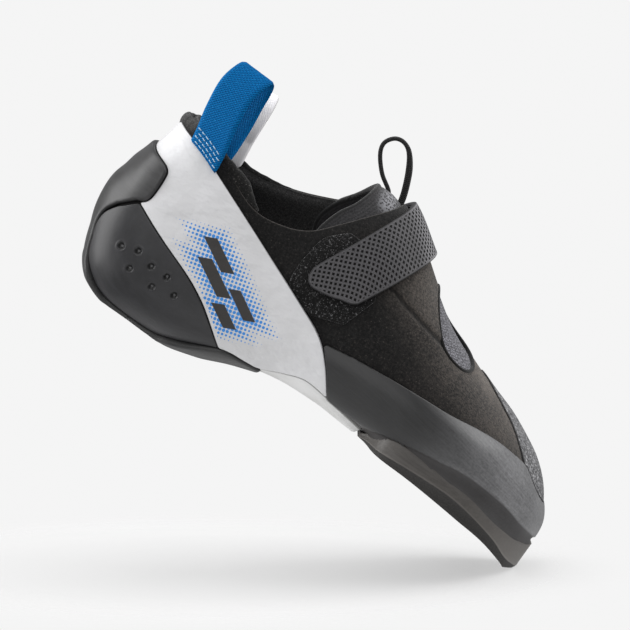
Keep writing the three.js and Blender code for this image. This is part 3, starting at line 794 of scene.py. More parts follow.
# satin rubber with fine streaks, scuffs and a darker edge where an edge tone is given
def rubberFinish(name, dark, light, scuffTone, gloss, streak, scuffs=0.35, edgeTone=None, dimpled=False):
    finish = Finish(name, Specular_IOR_Level=0.45)
    place = finish.place()
    streaks = finish.noise(finish.stretched(place, streak), 1, 4, 0.62)
    clouds = finish.noise(place, 30, 3, 0.5)
    grains = finish.noise(place, 2600, 1, 0.5)
    mix = (streaks - 0.5) * 1.1 + (clouds - 0.5) * 1.0 + (grains - 0.5) * 0.5 + 0.5
    colour = finish.blend(mix.clipped(), dark, light)
    marks = finish.noise(finish.stretched(place, (220, 40, 1400), (0.2, 0.35, 0.1)), 1, 2, 0.5)
    scuffed = marks.between(0.66, 0.74) * clouds.between(0.5, 0.62) * scuffs
    colour = finish.blend(scuffed.clipped(), colour, scuffTone)
    if edgeTone:
        edge = 1 - finish.axis(finish.lay(), "Z").between(0.1 * mm, 0.8 * mm)
        colour = finish.blend(edge * 0.6, colour, edgeTone)
    # painted shade and highlight: each dimple is painted dark, with a lighter centre
    if dimpled:
        sunk = finish.axis(finish.lay(), "X")
        colour = finish.blend(sunk.between(0.05, 0.4) * 0.75, colour, tone(12))
        colour = finish.blend(sunk.between(0.8, 0.97) * 0.7, colour, tone(112, 112, 114))
    roughness = (gloss - 0.06) + streaks * 0.12 + scuffed * 0.2
    height = grains * 0.3 + streaks * 0.7
    return finish.done(colour, roughness, finish.bump(height, 0.1 * mm, 0.45))


# upper: one brushed skin and its lining, padded where the ankle sits
upperSizes = {"turns": (0, 1), "step": 1.4 * mm, "parting": -1.1 * mm, "inside": -2.2 * mm,
              "padding": 1.8 * mm, "paddingRun": 16 * mm, "seamRise": 0.5 * mm,
              "seamGroove": 0.6 * mm, "seamWidth": 0.8 * mm,
              "seamStart": (118 * mm, 124 * mm), "seamEnd": (180 * mm, 172 * mm),
              "sheenFadeFromRim": 16 * mm,
              "seam": [[118, 80.5], [130, 78.3], [138, 76.0], [147, 73.7], [160, 70.5], [169, 68.2],
                       [178, 66.0]]}
suede = suedeFinish("suede", tone(14, 12, 12), tone(44, 40, 37), tone(96, 89, 83), tone(106, 98, 91),
                    rearTones=(tone(8), tone(31, 30, 30)))
lining = clothFinish("lining", tone(32), tone(66, 65, 65), 0.8 * mm)
seamLine = smoothLine(upperSizes["seam"]) * mm


def seamDistance(share, angle):
    places = sidePlaces(share, angle)
    distance = lineDistance(places, seamLine)
    outerTop = (np.cos(angle) > 0) & (np.sin(angle) > -0.5)
    return np.where(outerTop, distance, 1.0)


# painted light: the second value is the share of painted nap sheen, more where a place faces up and towards
# the front, faded in from the collar rim
def suedeChart(share, angle):
    facingUp = ramp(np.sin(angle), 0.35, 1) ** 1.5
    forward = ramp(sectionAt(share)["x"], 0.42, 0.72)
    offRim = ramp(fieldAboveRims(share, angle), 0, upperSizes["sheenFadeFromRim"]) ** 2
    return np.stack([seamDistance(share, angle), facingUp * offRim * (0.7 + 0.3 * forward)], -1)


def suedeHigh(share, angle, depth):
    places = sidePlaces(share, angle)
    height = np.interp(places[:, 0], seamLine[:, 0], seamLine[:, 1])
    reach = ramp(places[:, 0], *upperSizes["seamStart"]) * ramp(places[:, 0], *upperSizes["seamEnd"])
    over = places[:, 1] - height
    above = ramp(over, 0, 1.2 * mm) * ramp(over, 14 * mm, 0)
    near = seamDistance(share, angle)
    outerTop = (np.cos(angle) > 0) & (np.sin(angle) > -0.5)
    groove = np.exp(-(near / upperSizes["seamWidth"]) ** 2) * reach
    return upperSizes["seamRise"] * above * reach * outerTop - upperSizes["seamGroove"] * groove


def liningInside(share, angle, depth):
    rimDepth = ramp(depth, 0, upperSizes["paddingRun"])
    swell = np.sin(math.pi * np.sqrt(rimDepth)) ** 2
    heelHalf = ramp(sectionAt(share)["x"], 0.42, 0.32)
    return upperSizes["inside"] - upperSizes["padding"] * swell * heelHalf


wholeGrid = gridOver(upperSizes)
skin = panel("suedeUpper", suede, wholeGrid, upperField, upperSizes["parting"], suedeHigh, 0.5 * mm,
             suedeChart)
dress(skin, "suede", "upper")
dress(panel("collarLining", lining, wholeGrid, upperField, liningInside, upperSizes["parting"], 0.5 * mm),
      "lining")

insoleSizes = {"low": -4.5 * mm, "high": -2.3 * mm, "span": (0.02, 0.97), "turns": (0.3, 0.7),
               "step": 2 * mm}
dress(panel("insoleSheet", lining,
            layGrid(*insoleSizes["span"], *insoleSizes["turns"], insoleSizes["step"]),
            lambda share, angle: depthIn("belowInsole", share, angle),
            insoleSizes["low"], insoleSizes["high"]), "lining", "insole")

# padded roll round the back of the collar: side view places of its middle, with its half height
collar = {"near": [[62, 73.5, 1.0], [57, 75.6, 2.2], [51, 79.2, 3.4], [45, 80.6, 3.6], [38, 83.0, 3.3],
                   [30, 84.8, 3.2], [23, 86.0, 3.2], [19.0, 86.2, 3.4]],
          "back": [16.0, 85.6, 3.5],
          "far": [[19.0, 86.4, 3.4], [23, 86.4, 3.2], [30, 84.8, 2.6], [40, 81.6, 2.2], [52, 80.0, 1.9],
                  [64, 81.4, 1.6], [76, 84.2, 1.2]],
          "inset": -1.4 * mm, "thickness": 0.58, "lean": 1.0 * mm, "sides": 18, "step": 0.8 * mm}
fleece = suedeFinish("fleece", tone(13), tone(36, 35, 34), tone(120, 117, 114),
                     tone(70, 67, 64), 2.0, edgeShare=0)


def collarRoll():
    rows = []
    for key, outerSide in (("near", True), ("far", False)):
        sized = np.array(collar[key])
        places = onSide(sized[:, :2] * mm, collar["inset"], outerSide)
        line = np.column_stack([places, sized[:, 2] * mm])
        rows += list(line) if outerSide else [backRow()] + list(line)
    line = smoothLine(rows, 24)
    size = np.array([row[3] for row in line])
    spine = line[:, :3]
    run = runAlong(spine)
    dense = np.linspace(0, run[-1], int(run[-1] / collar["step"]))
    spine = np.stack([np.interp(dense, run, spine[:, k]) for k in range(3)], -1)
    size = np.interp(dense, run, size)
    wobble = 1 + 0.05 * np.sin(dense / (2.3 * mm)) + 0.04 * np.sin(dense / (0.9 * mm) + 1)
    points, faces = tube(spine, size * wobble, collar["sides"], collar["thickness"], Vector((0, 0, 1)))
    charts = [(1.0, 0.0, 1.0)] * len(points)
    return meshPiece("collarRoll", points, faces, fleece, charts)


def backRow():
    x, z, size = collar["back"]
    return np.array([x * mm - collar["lean"] + lastOrigin[0], lastOrigin[1], z * mm, size * mm])


dress(collarRoll(), "lining")

# tongue with its bound edge, stitched rows and an open mesh by the cord
tongueSizes = {"from": 80 * mm, "to": 176 * mm, "turns": (-0.3, 0.3), "step": 1.0 * mm,
               "low": -5.2 * mm, "high": -2.4 * mm, "rounding": 1.2 * mm, "free": (116 * mm, 108 * mm),
               "freeRise": 1.3 * mm, "meshAt": (108.0, 108.2)}


def tongueFinish():
    finish = Finish("tongueKnit", Specular_IOR_Level=0.15, Sheen_Weight=0.25, Sheen_Roughness=0.5)
    lay = finish.lay()
    place = finish.place()
    x, z, depth = (finish.axis(lay, name) for name in "XYZ")
    ribs = (depth * (2 * math.pi / (1.5 * mm))).wave()
    fluff = finish.noise(place, 1500, 2, 0.6)
    colour = finish.blend((fluff * 1.6 - 0.3 + ribs * 0.1).clipped(), tone(18, 18, 19), tone(56, 55, 57))
    centreX, centreZ = tongueSizes["meshAt"]
    off = ((x - centreX * mm) ** 2 + (z - centreZ * mm) ** 2) ** 0.5
    holes = finish.cells(place, 800, 0.8).between(0.32, 0.55)
    mesh = (1 - off.between(1.5 * mm, 7.5 * mm)) * depth.between(2.0 * mm, 2.6 * mm)
    colour = finish.blend(mesh * (0.08 + 0.92 * holes), colour, tone(126, 126, 130))
    edge = 1 - depth.between(1.4 * mm, 1.8 * mm)
    colour = finish.blend(edge * 0.8, colour, tone(22))
    return finish.done(colour, 0.9, finish.bump(ribs * 0.2 + fluff, 0.3 * mm, 0.7))


def tongueHigh(share, angle, depth):
    bound = np.exp(-((depth - 1.2 * mm) / (0.8 * mm)) ** 2)
    groove = np.exp(-((depth - 2.6 * mm) / (0.4 * mm)) ** 2)
    free = ramp(sectionAt(share)["x"] * last["length"], *tongueSizes["free"])
    return tongueSizes["high"] + tongueSizes["freeRise"] * free + 0.5 * mm * bound - 0.25 * mm * groove


dress(panel("tongueSheet", tongueFinish(), gridOver(tongueSizes),
            lambda share, angle: depthIn("tongue", share, angle),
            tongueSizes["low"], tongueHigh, tongueSizes["rounding"]), "knit", "tongue")

# stretch window with its black piping
windowSizes = {"low": -2.5 * mm, "high": -1.0 * mm, "lap": 3 * mm, "span": (0.50, 0.80),
               "turns": (-0.2, 0.25), "step": 0.9 * mm, "piping": 0.8 * mm}
windowKnit = clothFinish("windowKnit", tone(52, 52, 56), tone(158, 157, 165), 0.75 * mm, 0.2 * mm, 0.8)
dress(panel("windowSheet", windowKnit,
            layGrid(*windowSizes["span"], *windowSizes["turns"], windowSizes["step"]),
            lambda share, angle: depthIn("window", share, angle, plan=True) + windowSizes["lap"],
            windowSizes["low"], windowSizes["high"]), "knit", "stretch_window")

piping = clothFinish("piping", tone(10), tone(26), 0.5 * mm, 0.15 * mm)


def windowPiping():
    line = onTop(outlines["window"], -0.1 * mm)
    spine = evenLine(np.vstack([line, line[:1]]), 0.7 * mm)[:-1]
    points, faces = tube(spine, windowSizes["piping"], 10, 1.0, Vector((0.1, 0.2, 1)), closed=True)
    return meshPiece("windowPiping", points, faces, piping, [(1, 0, 1)] * len(points))


dress(windowPiping(), "knit")

# heel: rubber strip with its lobe, moulded cups and the band round them
heel = {"stripHigh": 3.1 * mm, "stripUnder": 1.6 * mm, "cupHigh": 2.0 * mm, "gap": 0.3 * mm,
        "strip": {"to": 106 * mm, "turns": (0, 1), "step": 1.2 * mm},
        "outer": {"to": 88 * mm, "turns": (0.1, 0.55), "step": 0.6 * mm},
        "inner": {"to": 88 * mm, "turns": (0.45, 0.9), "step": 0.6 * mm},
        "dimples": [[22.8, 28.6], [29.8, 31.1], [37.8, 28.9], [30.8, 22.8], [45.8, 29.0], [42.8, 21.8],
                    [52.8, 24.1]],
        "rearThinning": 1.8 * mm, "lobeSwell": 0.9 * mm, "rearWidth": 26, "rearFrom": (14, 26),
        "rearTo": (58, 46), "lobe": (50, 60), "under": (16, 8), "clearance": (20 * mm, 40 * mm),
        "dimpleSize": 1.6 * mm, "dimpleDepth": 1.35 * mm, "dimpleRim": 0.22 * mm}
stripRubber = rubberFinish("stripRubber", tone(33), tone(58, 58, 59), tone(118, 118, 120), 0.40,
                           (120, 120, 900), edgeTone=tone(24))
cupRubber = rubberFinish("cupRubber", tone(26, 26, 27), tone(46, 46, 49), tone(100, 100, 104), 0.40,
                         (140, 900, 140), scuffs=0.15, edgeTone=tone(20), dimpled=True)


def stripSoleLift(points):
    points[:, 2] = np.maximum(points[:, 2], 0)
    return points


# the strip is thinner down the back of the heel and swells into the lobe above it
def stripHigh(share, angle, depth):
    y, z = (lastPoint(share, angle) - lastOrigin)[:, 1:].T / mm
    middle = ramp(np.abs(y), heel["rearWidth"], 0)
    rear = ramp(z, *heel["rearFrom"]) * ramp(z, *heel["rearTo"])
    return (heel["stripHigh"] - heel["rearThinning"] * rear * middle
            + heel["lobeSwell"] * ramp(z, *heel["lobe"]) + heel["stripUnder"] * ramp(z, *heel["under"]))


strip = panel("heelStrip", stripRubber, gridOver(heel["strip"]),
              lambda share, angle: depthIn("strip", share, angle), -0.1 * mm, stripHigh, 1.3 * mm,
              settle=stripSoleLift)
dress(strip, "sole_rubber", "heel_rubber")


def cupField(share, angle):
    clearance = 0.3 * mm + 0.9 * mm * ramp(sidePlaces(share, angle)[..., 1], *heel["clearance"])
    return np.minimum(depthIn("cup", share, angle) - 0.15 * mm, depthOut("strip", share, angle) - clearance)


def cupHigh(share, angle, depth):
    places = sidePlaces(share, angle)
    high = np.full(len(share), heel["cupHigh"])
    for centre in heel["dimples"]:
        r = np.linalg.norm(places - np.array(centre) * mm, axis=1) / heel["dimpleSize"]
        high -= heel["dimpleDepth"] * np.clip(1 - r * r, 0, 1) ** 0.6
        high += heel["dimpleRim"] * np.exp(-((r - 1.15) / 0.22) ** 2)
    return high


def cupChart(share, angle):
    places = sidePlaces(share, angle)
    sunk = np.zeros(len(share))
    for centre in heel["dimples"]:
        r = np.linalg.norm(places - np.array(centre) * mm, axis=1) / heel["dimpleSize"]
        sunk = np.maximum(sunk, 1 - r * r)
    return np.stack([sunk, np.zeros_like(sunk)], -1)


for side in ("outer", "inner"):
    cup = panel(side + "Cup", cupRubber, gridOver(heel[side]), cupField, -0.1 * mm, cupHigh, 0.5 * mm,
                cupChart)
    dress(cup, "rand_rubber", "heel_cup_" + side)

# white band: its print is a plain row of slanted bars in a field of halftone dots
band = {"to": 136 * mm, "turns": (0, 1), "step": 1.0 * mm, "high": 2.0 * mm, "printAt": (68, 40),
        "printAlong": (0.865, -0.502), "dotPitch": 1.75 * mm,
        "bars": [(-15, 3.5, 8.5, 2.4), (-3, -2.5, 9.5, 2.6), (9, 3.0, 7.5, 2.2), (16, -6.0, 6.0, 2.4)],
        "dotReach": 8.0 * mm, "skew": 0.7, "pull": 0.18 * mm, "pullFrom": (48, 66), "pullEdge": 5 * mm}


def bandFinish():
    finish = Finish("printedCoat", Specular_IOR_Level=0.35)
    lay = finish.lay()
    x, z, depth = (finish.axis(lay, name) for name in "XYZ")
    across, up = x - band["printAt"][0] * mm, z - band["printAt"][1] * mm
    cosine, sine = band["printAlong"]
    u, v = across * cosine + up * sine, up * cosine - across * sine
    skewed = u - v * band["skew"]
    reach = None
    for barU, barV, halfU, halfV in band["bars"]:
        off = ((skewed - barU * mm).size() - halfU * mm).most((v - barV * mm).size() - halfV * mm)
        reach = off if reach is None else reach.least(off)
    rows = (u + v) / (band["dotPitch"] * math.sqrt(2)), (u - v) / (band["dotPitch"] * math.sqrt(2))
    cells = [(row.part() - 0.5) for row in rows]
    centre = (cells[0] ** 2 + cells[1] ** 2) ** 0.5
    swell = 0.52 * (1 - (reach / band["dotReach"]).clipped()) ** 0.7
    ragged = finish.noise(lay, 160, 2, 0.5)
    dots = (swell - 0.16 * (ragged - 0.3).clipped() - centre).between(-0.02, 0.03)
    dots = dots * (reach < band["dotReach"]) * depth.between(1.2 * mm, 1.6 * mm)
    bars = (0 - reach).between(-0.08 * mm, 0.08 * mm) * depth.between(1.2 * mm, 1.6 * mm)
    place = finish.place()
    soil = finish.noise(place, 35, 3, 0.55)
    base = finish.blend(soil.between(0.35, 0.8), tone(206, 206, 208), tone(192, 192, 193))
    colour = finish.blend(dots, base, tone(56, 132, 208))
    colour = finish.blend(bars, colour, tone(52, 50, 49))
    # painted shade: a grey line along the band's edges
    edge = 1 - depth.between(0.15 * mm, 0.5 * mm)
    colour = finish.blend(edge * 0.75, colour, tone(96, 95, 96))
    grain = finish.noise(place, 1900, 2, 0.5)
    folds = finish.noise(finish.stretched(place, (75, 75, 120), (0, 0.5, 0)), 1, 3, 0.55)
    normal = finish.bump(folds, 2.6 * mm, 0.5)
    return finish.done(colour, 0.5 + 0.12 * grain, finish.bump(grain, 0.06 * mm, 0.5, normal))


def bandField(share, angle):
    field = np.minimum(depthIn("band", share, angle), depthOut("strip", share, angle) - heel["gap"])
    return np.minimum(field, depthOut("cup", share, angle) - 0.15 * mm)


def bandHigh(share, angle, depth):
    places = sidePlaces(share, angle) / mm
    pull = np.sin((places[:, 0] * 0.35 + places[:, 1] * 0.94) / 4.4 + 0.7 * np.sin(places[:, 0] / 9))
    fade = ramp(places[:, 1], *band["pullFrom"]) * ramp(depth, 0, band["pullEdge"])
    return band["high"] + band["pull"] * pull * fade


bandSheet = panel("tensionBand", bandFinish(), gridOver(band), bandField, 0.1 * mm, bandHigh, 0.45 * mm)
dress(bandSheet, "white_synthetic", "heel_band")

archSizes = {"from": 70 * mm, "to": 160 * mm, "turns": (0.2, 0.8), "step": 1.1 * mm, "high": 1.9 * mm,
             "swellDepth": 4 * mm, "swell": [[116, 0.0], [132, 0.7], [143, 1.9], [152, 2.7], [160, 2.7]]}


def archFinish():
    finish = Finish("archCoat", Specular_IOR_Level=0.4)
    place = finish.place()
    soil = finish.noise(place, 45, 3, 0.6)
    grain = finish.noise(place, 1700, 2, 0.5)
    colour = finish.blend(soil.between(0.4, 0.8), tone(210), tone(192, 192, 190))
    # painted shade: a grey line along the cover's edges, where its seam groove lies
    edge = 1 - finish.axis(finish.lay(), "Z").between(0.15 * mm, 0.6 * mm)
    colour = finish.blend(edge * 0.6, colour, tone(120, 120, 118))
    return finish.done(colour, 0.42 + 0.1 * grain, finish.bump(grain, 0.06 * mm, 0.5))


def archField(share, angle):
    field = np.minimum(depthIn("arch", share, angle) - 0.1 * mm,
                       depthOut("strip", share, angle) - heel["gap"])
    return np.minimum(field, depthOut("band", share, angle) - 0.15 * mm)


def archHigh(share, angle, depth):
    swell = np.interp(sidePlaces(share, angle)[:, 0] / mm, *np.array(archSizes["swell"]).T) * mm
    return archSizes["high"] + swell * np.sin(ramp(depth, 0, archSizes["swellDepth"]) * math.pi / 2)


arch = panel("archSheet", archFinish(), gridOver(archSizes), archField, -0.1 * mm, archHigh, 0.5 * mm)
dress(arch, "white_synthetic", "arch_cover")

# front half-sole: a block under the contour of the last, its side wall, bevel and underside on three
# lines; the chart holds the place along and the level down the wall
sole = {"run": (0.614, 0.9895), "grow": 3.0 * mm, "bevelInset": 2.6 * mm, "rounding": 0.5 * mm,
        "randClearance": 2.45 * mm, "stations": 130, "across": 26, "ridge": 0.2 * mm, "hollow": 0.35 * mm,
        "wallLevels": 8, "bevelLevels": 5, "thinnest": 0.8 * mm,
        "tuck": [[153 * mm, 1.10], [166 * mm, 0.75]]}

# rand: thin at its top edge, hollowed above the sole; the chart holds the angle up from the underside
# and the share of the hollow
randSizes = {"from": 106 * mm, "turns": (0, 1), "step": 1.1 * mm, "high": 2.3 * mm, "thinEdge": 1.1 * mm,
             "thinRun": 7 * mm, "soleLap": 4 * mm, "hollow": 1.0 * mm, "underSole": 0.25 * mm,
             "hollowTop": [[150, 24.5], [178, 30.0], [186, 30.8], [196, 32.0], [208, 31.2], [222, 28.4],
                           [233, 24.0], [243, 19.6], [250, 15.0]]}
hollowTop = smoothLine(randSizes["hollowTop"]) * mm


def hollowShare(share, angle):
    places = sidePlaces(share, angle)
    top = np.interp(places[..., 0], hollowTop[:, 0], hollowTop[:, 1])
    low = np.interp(places[..., 0], *(smooth["soleTop"] * sideScale).T)
    return np.clip((top - places[..., 1]) / np.maximum(top - low, 1 * mm), 0, 1)


def randFinish():
    finish = Finish("randRubber", Specular_IOR_Level=0.5)
    place = finish.place()
    lay = finish.lay()
    around, hollow, depth = (finish.axis(lay, name) for name in "XYZ")
    along = finish.axis(place, "X")
    flow = finish.node("ShaderNodeCombineXYZ", {}, {0: along * 95, 1: around * 44, 2: 0})
    streaks = finish.noise(flow, 1, 5, 0.65)
    clouds = finish.noise(place, 26, 3, 0.5)
    grains = finish.noise(place, 2600, 1, 0.5)
    mix = (streaks - 0.5) * 1.5 + (clouds - 0.5) * 0.8 + (grains - 0.5) * 0.4 + 0.5
    colour = finish.blend(mix.clipped(), tone(22), tone(42, 42, 43))
    speckle = finish.noise(place, 800, 3, 0.7)
    # partly painted highlight: the rand is lighter towards the toe where light falls on it, broken up by
    # streaks and specks that also stand for wear
    toward = along.between(40 * mm, 105 * mm)
    wearAndSheen = (0.6 + (streaks - 0.5) * 0.8 + (clouds - 0.5) * 0.9 + (speckle - 0.5) * 0.8).clipped()
    colour = finish.blend(toward * wearAndSheen, colour, tone(150, 150, 152))
    # partly painted shade: the hollow above the sole takes one even dark tone, the smooth rubber there and
    # the shade under the rand's bulge
    colour = finish.blend(hollow.between(0.02, 0.16) * 0.85, colour, tone(38, 35, 35))
    edge = 1 - depth.between(0.1 * mm, 0.7 * mm)
    colour = finish.blend(edge * 0.5, colour, tone(30))
    roughness = 0.34 + 0.18 * streaks + 0.12 * hollow
    height = grains * 0.25 + streaks * 0.75
    return finish.done(colour, roughness, finish.bump(height, 0.1 * mm, 0.5))


def randChart(share, angle):
    return np.stack([np.abs(angle + math.pi / 2), hollowShare(share, angle)], -1)


def randField(share, angle):
    field = np.minimum(depthIn("belowRand", share, angle), depthOut("band", share, angle) - heel["gap"])
    field = np.minimum(field, depthOut("arch", share, angle) - heel["gap"])
    return np.minimum(field, depthOut("belowSole", share, angle) + randSizes["soleLap"])


def randHigh(share, angle, depth):
    places = sidePlaces(share, angle)
    top = np.interp(places[:, 0], *(smooth["randTop"] * sideScale).T)
    grown = np.sin(ramp(top - places[:, 1], 0, randSizes["thinRun"]) * math.pi / 2)
    high = randSizes["thinEdge"] + (randSizes["high"] - randSizes["thinEdge"]) * grown
    share = hollowShare(share, angle)
    flush = sole["grow"] - randSizes["underSole"] - high
    return high - randSizes["hollow"] * np.sin(share ** 0.8 * math.pi) + flush * share ** 3


rand = panel("frontRand", randFinish(), gridOver(randSizes), randField, -0.1 * mm, randHigh, 0.5 * mm,
             randChart)
dress(rand, "rand_rubber", "rand")

toeSizes = {"from": 180 * mm, "turns": (-0.45, 0.45), "high": 0.75 * mm, "notch": (80.9 * mm, -0.7 * mm),
            "notchSize": 0.6 * mm, "step": 0.9 * mm}


def toeFinish():
    finish = Finish("speckledRubber", Specular_IOR_Level=0.35)
    place = finish.place()
    specks = finish.noise(place, 850, 2, 0.8)
    grains = finish.cells(place, 1500, 1.0)
    mix = (specks - 0.5) * 4.0 + 0.5
    colour = finish.blend(mix.clipped(), tone(48, 48, 50), tone(142, 142, 144))
    colour = finish.blend(specks.between(0.60, 0.68) * 0.8, colour, tone(212, 212, 214))
    notchX, notchY = toeSizes["notch"]
    off = ((finish.axis(place, "X") - notchX) ** 2 + (finish.axis(place, "Y") - notchY) ** 2) ** 0.5
    mark = 1 - off.between(toeSizes["notchSize"], toeSizes["notchSize"] * 1.5)
    colour = finish.blend(mark * 0.9, colour, tone(24))
    edge = 1 - finish.axis(finish.lay(), "Z").between(0.45 * mm, 0.75 * mm)
    colour = finish.blend(edge * 0.9, colour, tone(26))
    return finish.done(colour, 0.6, finish.bump(grains + specks, 0.15 * mm, 0.6))


def toePatchField(share, angle):
    plan = np.where(np.sin(angle) > 0, depthIn("toePatch", share, angle, plan=True), -0.01)
    return np.minimum(plan, depthOut("belowRand", share, angle) - 0.3 * mm)


toePatch = panel("toeSheet", toeFinish(), gridOver(toeSizes), toePatchField, -0.1 * mm, toeSizes["high"],
                 0.4 * mm)
dress(toePatch, "speckled_rubber", "toe_patch")

# instep: looped patch under the strap, and the strap with its printed grid of square dots
instep = {"patch": {"from": 84 * mm, "to": 140 * mm, "turns": (0.01, 0.5), "step": 1.0 * mm},
          "strap": {"from": 88 * mm, "to": 150 * mm, "turns": (-0.45, 0.45), "step": 0.8 * mm},
          "patchHigh": 0.8 * mm, "strapLow": 1.5 * mm, "strapHigh": 4.1 * mm, "dotPitch": 1.95 * mm,
          "dotHalf": 0.27, "dotGrowth": 0.06, "border": 1.0 * mm, "rimRise": 0.1 * mm}
fuzz = suedeFinish("fuzz", tone(6), tone(22, 21, 21), tone(112, 112, 113), tone(40, 39, 38), 2.5,
                   edgeShare=0, speckFrom=0.545)


def patchField(share, angle):
    field = np.minimum(depthIn("patch", share, angle), depthOut("aboveOuterRim", share, angle) - 0.3 * mm)
    field = np.minimum(field, depthOut("band", share, angle) - 0.3 * mm)
    return np.minimum(field, depthOut("belowRand", share, angle) - 0.3 * mm)


def fuzzChart(share, angle):
    return np.stack([np.ones_like(share), np.zeros_like(share)], -1)


patch = panel("loopSheet", fuzz, gridOver(instep["patch"]), patchField, -0.1 * mm, instep["patchHigh"],
              0.35 * mm, fuzzChart)
dress(patch, "hook_and_loop", "loop_patch")

strapAlong = np.array([0.40, 0.917])


# places on the strap, measured along the girth from the ridge and across it
def strapChart(share, angle):
    turns = np.linspace(0, 1, 41)
    path = lastPoint(share[..., None], math.pi / 2 + (angle[..., None] - math.pi / 2) * turns)
    girth = np.linalg.norm(np.diff(path, axis=-2), axis=-1).sum(axis=-1)
    girth = np.where(np.cos(angle) > 0, girth, -girth)
    x = sectionAt(share)["x"] * last["length"] - 110 * mm
    cosine, sine = strapAlong
    return np.stack([x * cosine - girth * sine, x * sine + girth * cosine], -1)


def strapFinish():
    finish = Finish("strapCoat", Specular_IOR_Level=0.12)
    lay = finish.lay()
    along, across, depth = (finish.axis(lay, name) for name in "XYZ")
    place = finish.place()
    pitch = instep["dotPitch"] * math.sqrt(2)
    first, second = (along + across) / pitch, (along - across) / pitch
    cells = [(value.part() - 0.5).size() for value in (first, second)]
    top = along.between(-14 * mm, 4 * mm)
    half = instep["dotHalf"] + top * instep["dotGrowth"]
    dots = 1 - cells[0].most(cells[1]).between(half - 0.03, half + 0.03)
    dots = dots * depth.between(instep["border"], instep["border"] + 0.2 * mm)
    grain = finish.noise(place, 2200, 2, 0.6)
    colour = finish.blend(grain.between(0.3, 0.75), tone(66, 65, 67), tone(88, 87, 89))
    # painted highlight: lighter towards the top of the instep
    colour = finish.blend(top * 0.55, colour, tone(176, 175, 178))
    colour = finish.blend(dots, colour, tone(4))
    edge = 1 - depth.between(0.2 * mm, 0.7 * mm)
    colour = finish.blend(edge * 0.8, colour, tone(30))
    height = (1 - dots) * 0.8 + grain * 0.12
    return finish.done(colour, 0.42 + 0.2 * dots, finish.bump(height, 0.22 * mm, 0.9))


def strapHigh(share, angle, depth):
    rim = np.exp(-((depth - 1.0 * mm) / (0.5 * mm)) ** 2)
    return instep["strapHigh"] - instep["rimRise"] + instep["rimRise"] * rim


strap = panel("wrapStrap", strapFinish(), gridOver(instep["strap"]),
              lambda share, angle: np.where(np.sin(angle) > -0.3, depthIn("strap", share, angle), -0.01),
              instep["strapLow"], strapHigh, 0.5 * mm, strapChart)
dress(strap, "strap_synthetic", "strap")


def soleFinish():
    finish = Finish("soleRubber", Specular_IOR_Level=0.4)
    place = finish.place()
    level = finish.axis(finish.lay(), "Y")
    streaks = finish.noise(finish.stretched(place, (70, 900, 900), (0, 0.2, 0)), 1, 4, 0.6)
    clouds = finish.noise(place, 38, 3, 0.5)
    grains = finish.noise(place, 2100, 2, 0.6)
    mix = (streaks - 0.5) * 1.2 + (clouds - 0.5) * 0.9 + (grains - 0.5) * 0.6 + 0.5
    colour = finish.blend(mix.clipped(), tone(62, 59, 57), tone(90, 87, 84))
    line = 1 - (level - 1.02).size().between(0.02, 0.10)
    colour = finish.blend(line * 0.3, colour, tone(122, 118, 114))
    tip = finish.axis(place, "X").between(75 * mm, 115 * mm)
    colour = finish.blend(tip * 0.35, colour, tone(134, 130, 126))
    # partly painted shade: the bevel and underside are rough rubber, painted dark as the edge turning under
    # lies in shade
    under = level.between(1.08, 1.3)
    dark = finish.blend((grains * 2.0 - 0.5).clipped(), tone(18, 17, 17), tone(52, 50, 48))
    colour = finish.blend(under * 0.95, colour, dark)
    # painted highlight: a light line along the sole's top edge
    top = 1 - (level + 0.02).size().between(0.04, 0.12)
    colour = finish.blend(top * 0.3, colour, tone(120, 117, 113))
    height = grains * (0.25 + 0.6 * under) + streaks * 0.5
    return finish.done(colour, 0.45 + 0.2 * under, finish.bump(height, 0.16 * mm, 0.6))


def lineHeight(name, x):
    line = smooth[name] * sideScale
    return float(np.interp(x, line[:, 0], line[:, 1]))


def solePlan():
    low, high = (float(shareAtX(np.array(share * last["length"]))) for share in sole["run"])
    run = low + (high - low) * np.sin(math.pi / 2 * np.linspace(0, 1, sole["stations"] + 1))
    x = sectionAt(run)["x"] * last["length"]
    line = smooth["soleTop"] * sideScale
    tucked = -np.interp(x, *np.array(sole["tuck"]).T)
    angles = np.maximum(angleAtZ(run, np.interp(x, line[:, 0], line[:, 1])), tucked)
    sides = []
    for turned in (angles, math.pi - angles):
        normal = lastNormal(run, turned)
        edge = lastPoint(run, turned) + normal * (sole["grow"] - randSizes["underSole"]) - lastOrigin
        sides.append(edge[:, :2] + unit(normal[:, :2]) * randSizes["underSole"])
    return sides


# height of the last's underside over a place in plan, grown by the rand's thickness
def undersideHeight(plan, grow):
    s = sectionAt(shareAtX(np.array(plan[0])))
    y = plan[1] / last["width"]
    reach = abs((s["outer"] if y < s["ridge"] else s["inner"]) - s["ridge"]) + grow / last["width"]
    across = abs(y - s["ridge"]) / reach
    if across >= 1:
        return 1.0
    rise = (1 - across ** s["under"]) ** (1 / s["under"])
    return float((s["waist"] - (s["waist"] - s["low"] + grow / last["height"]) * rise) * last["height"])


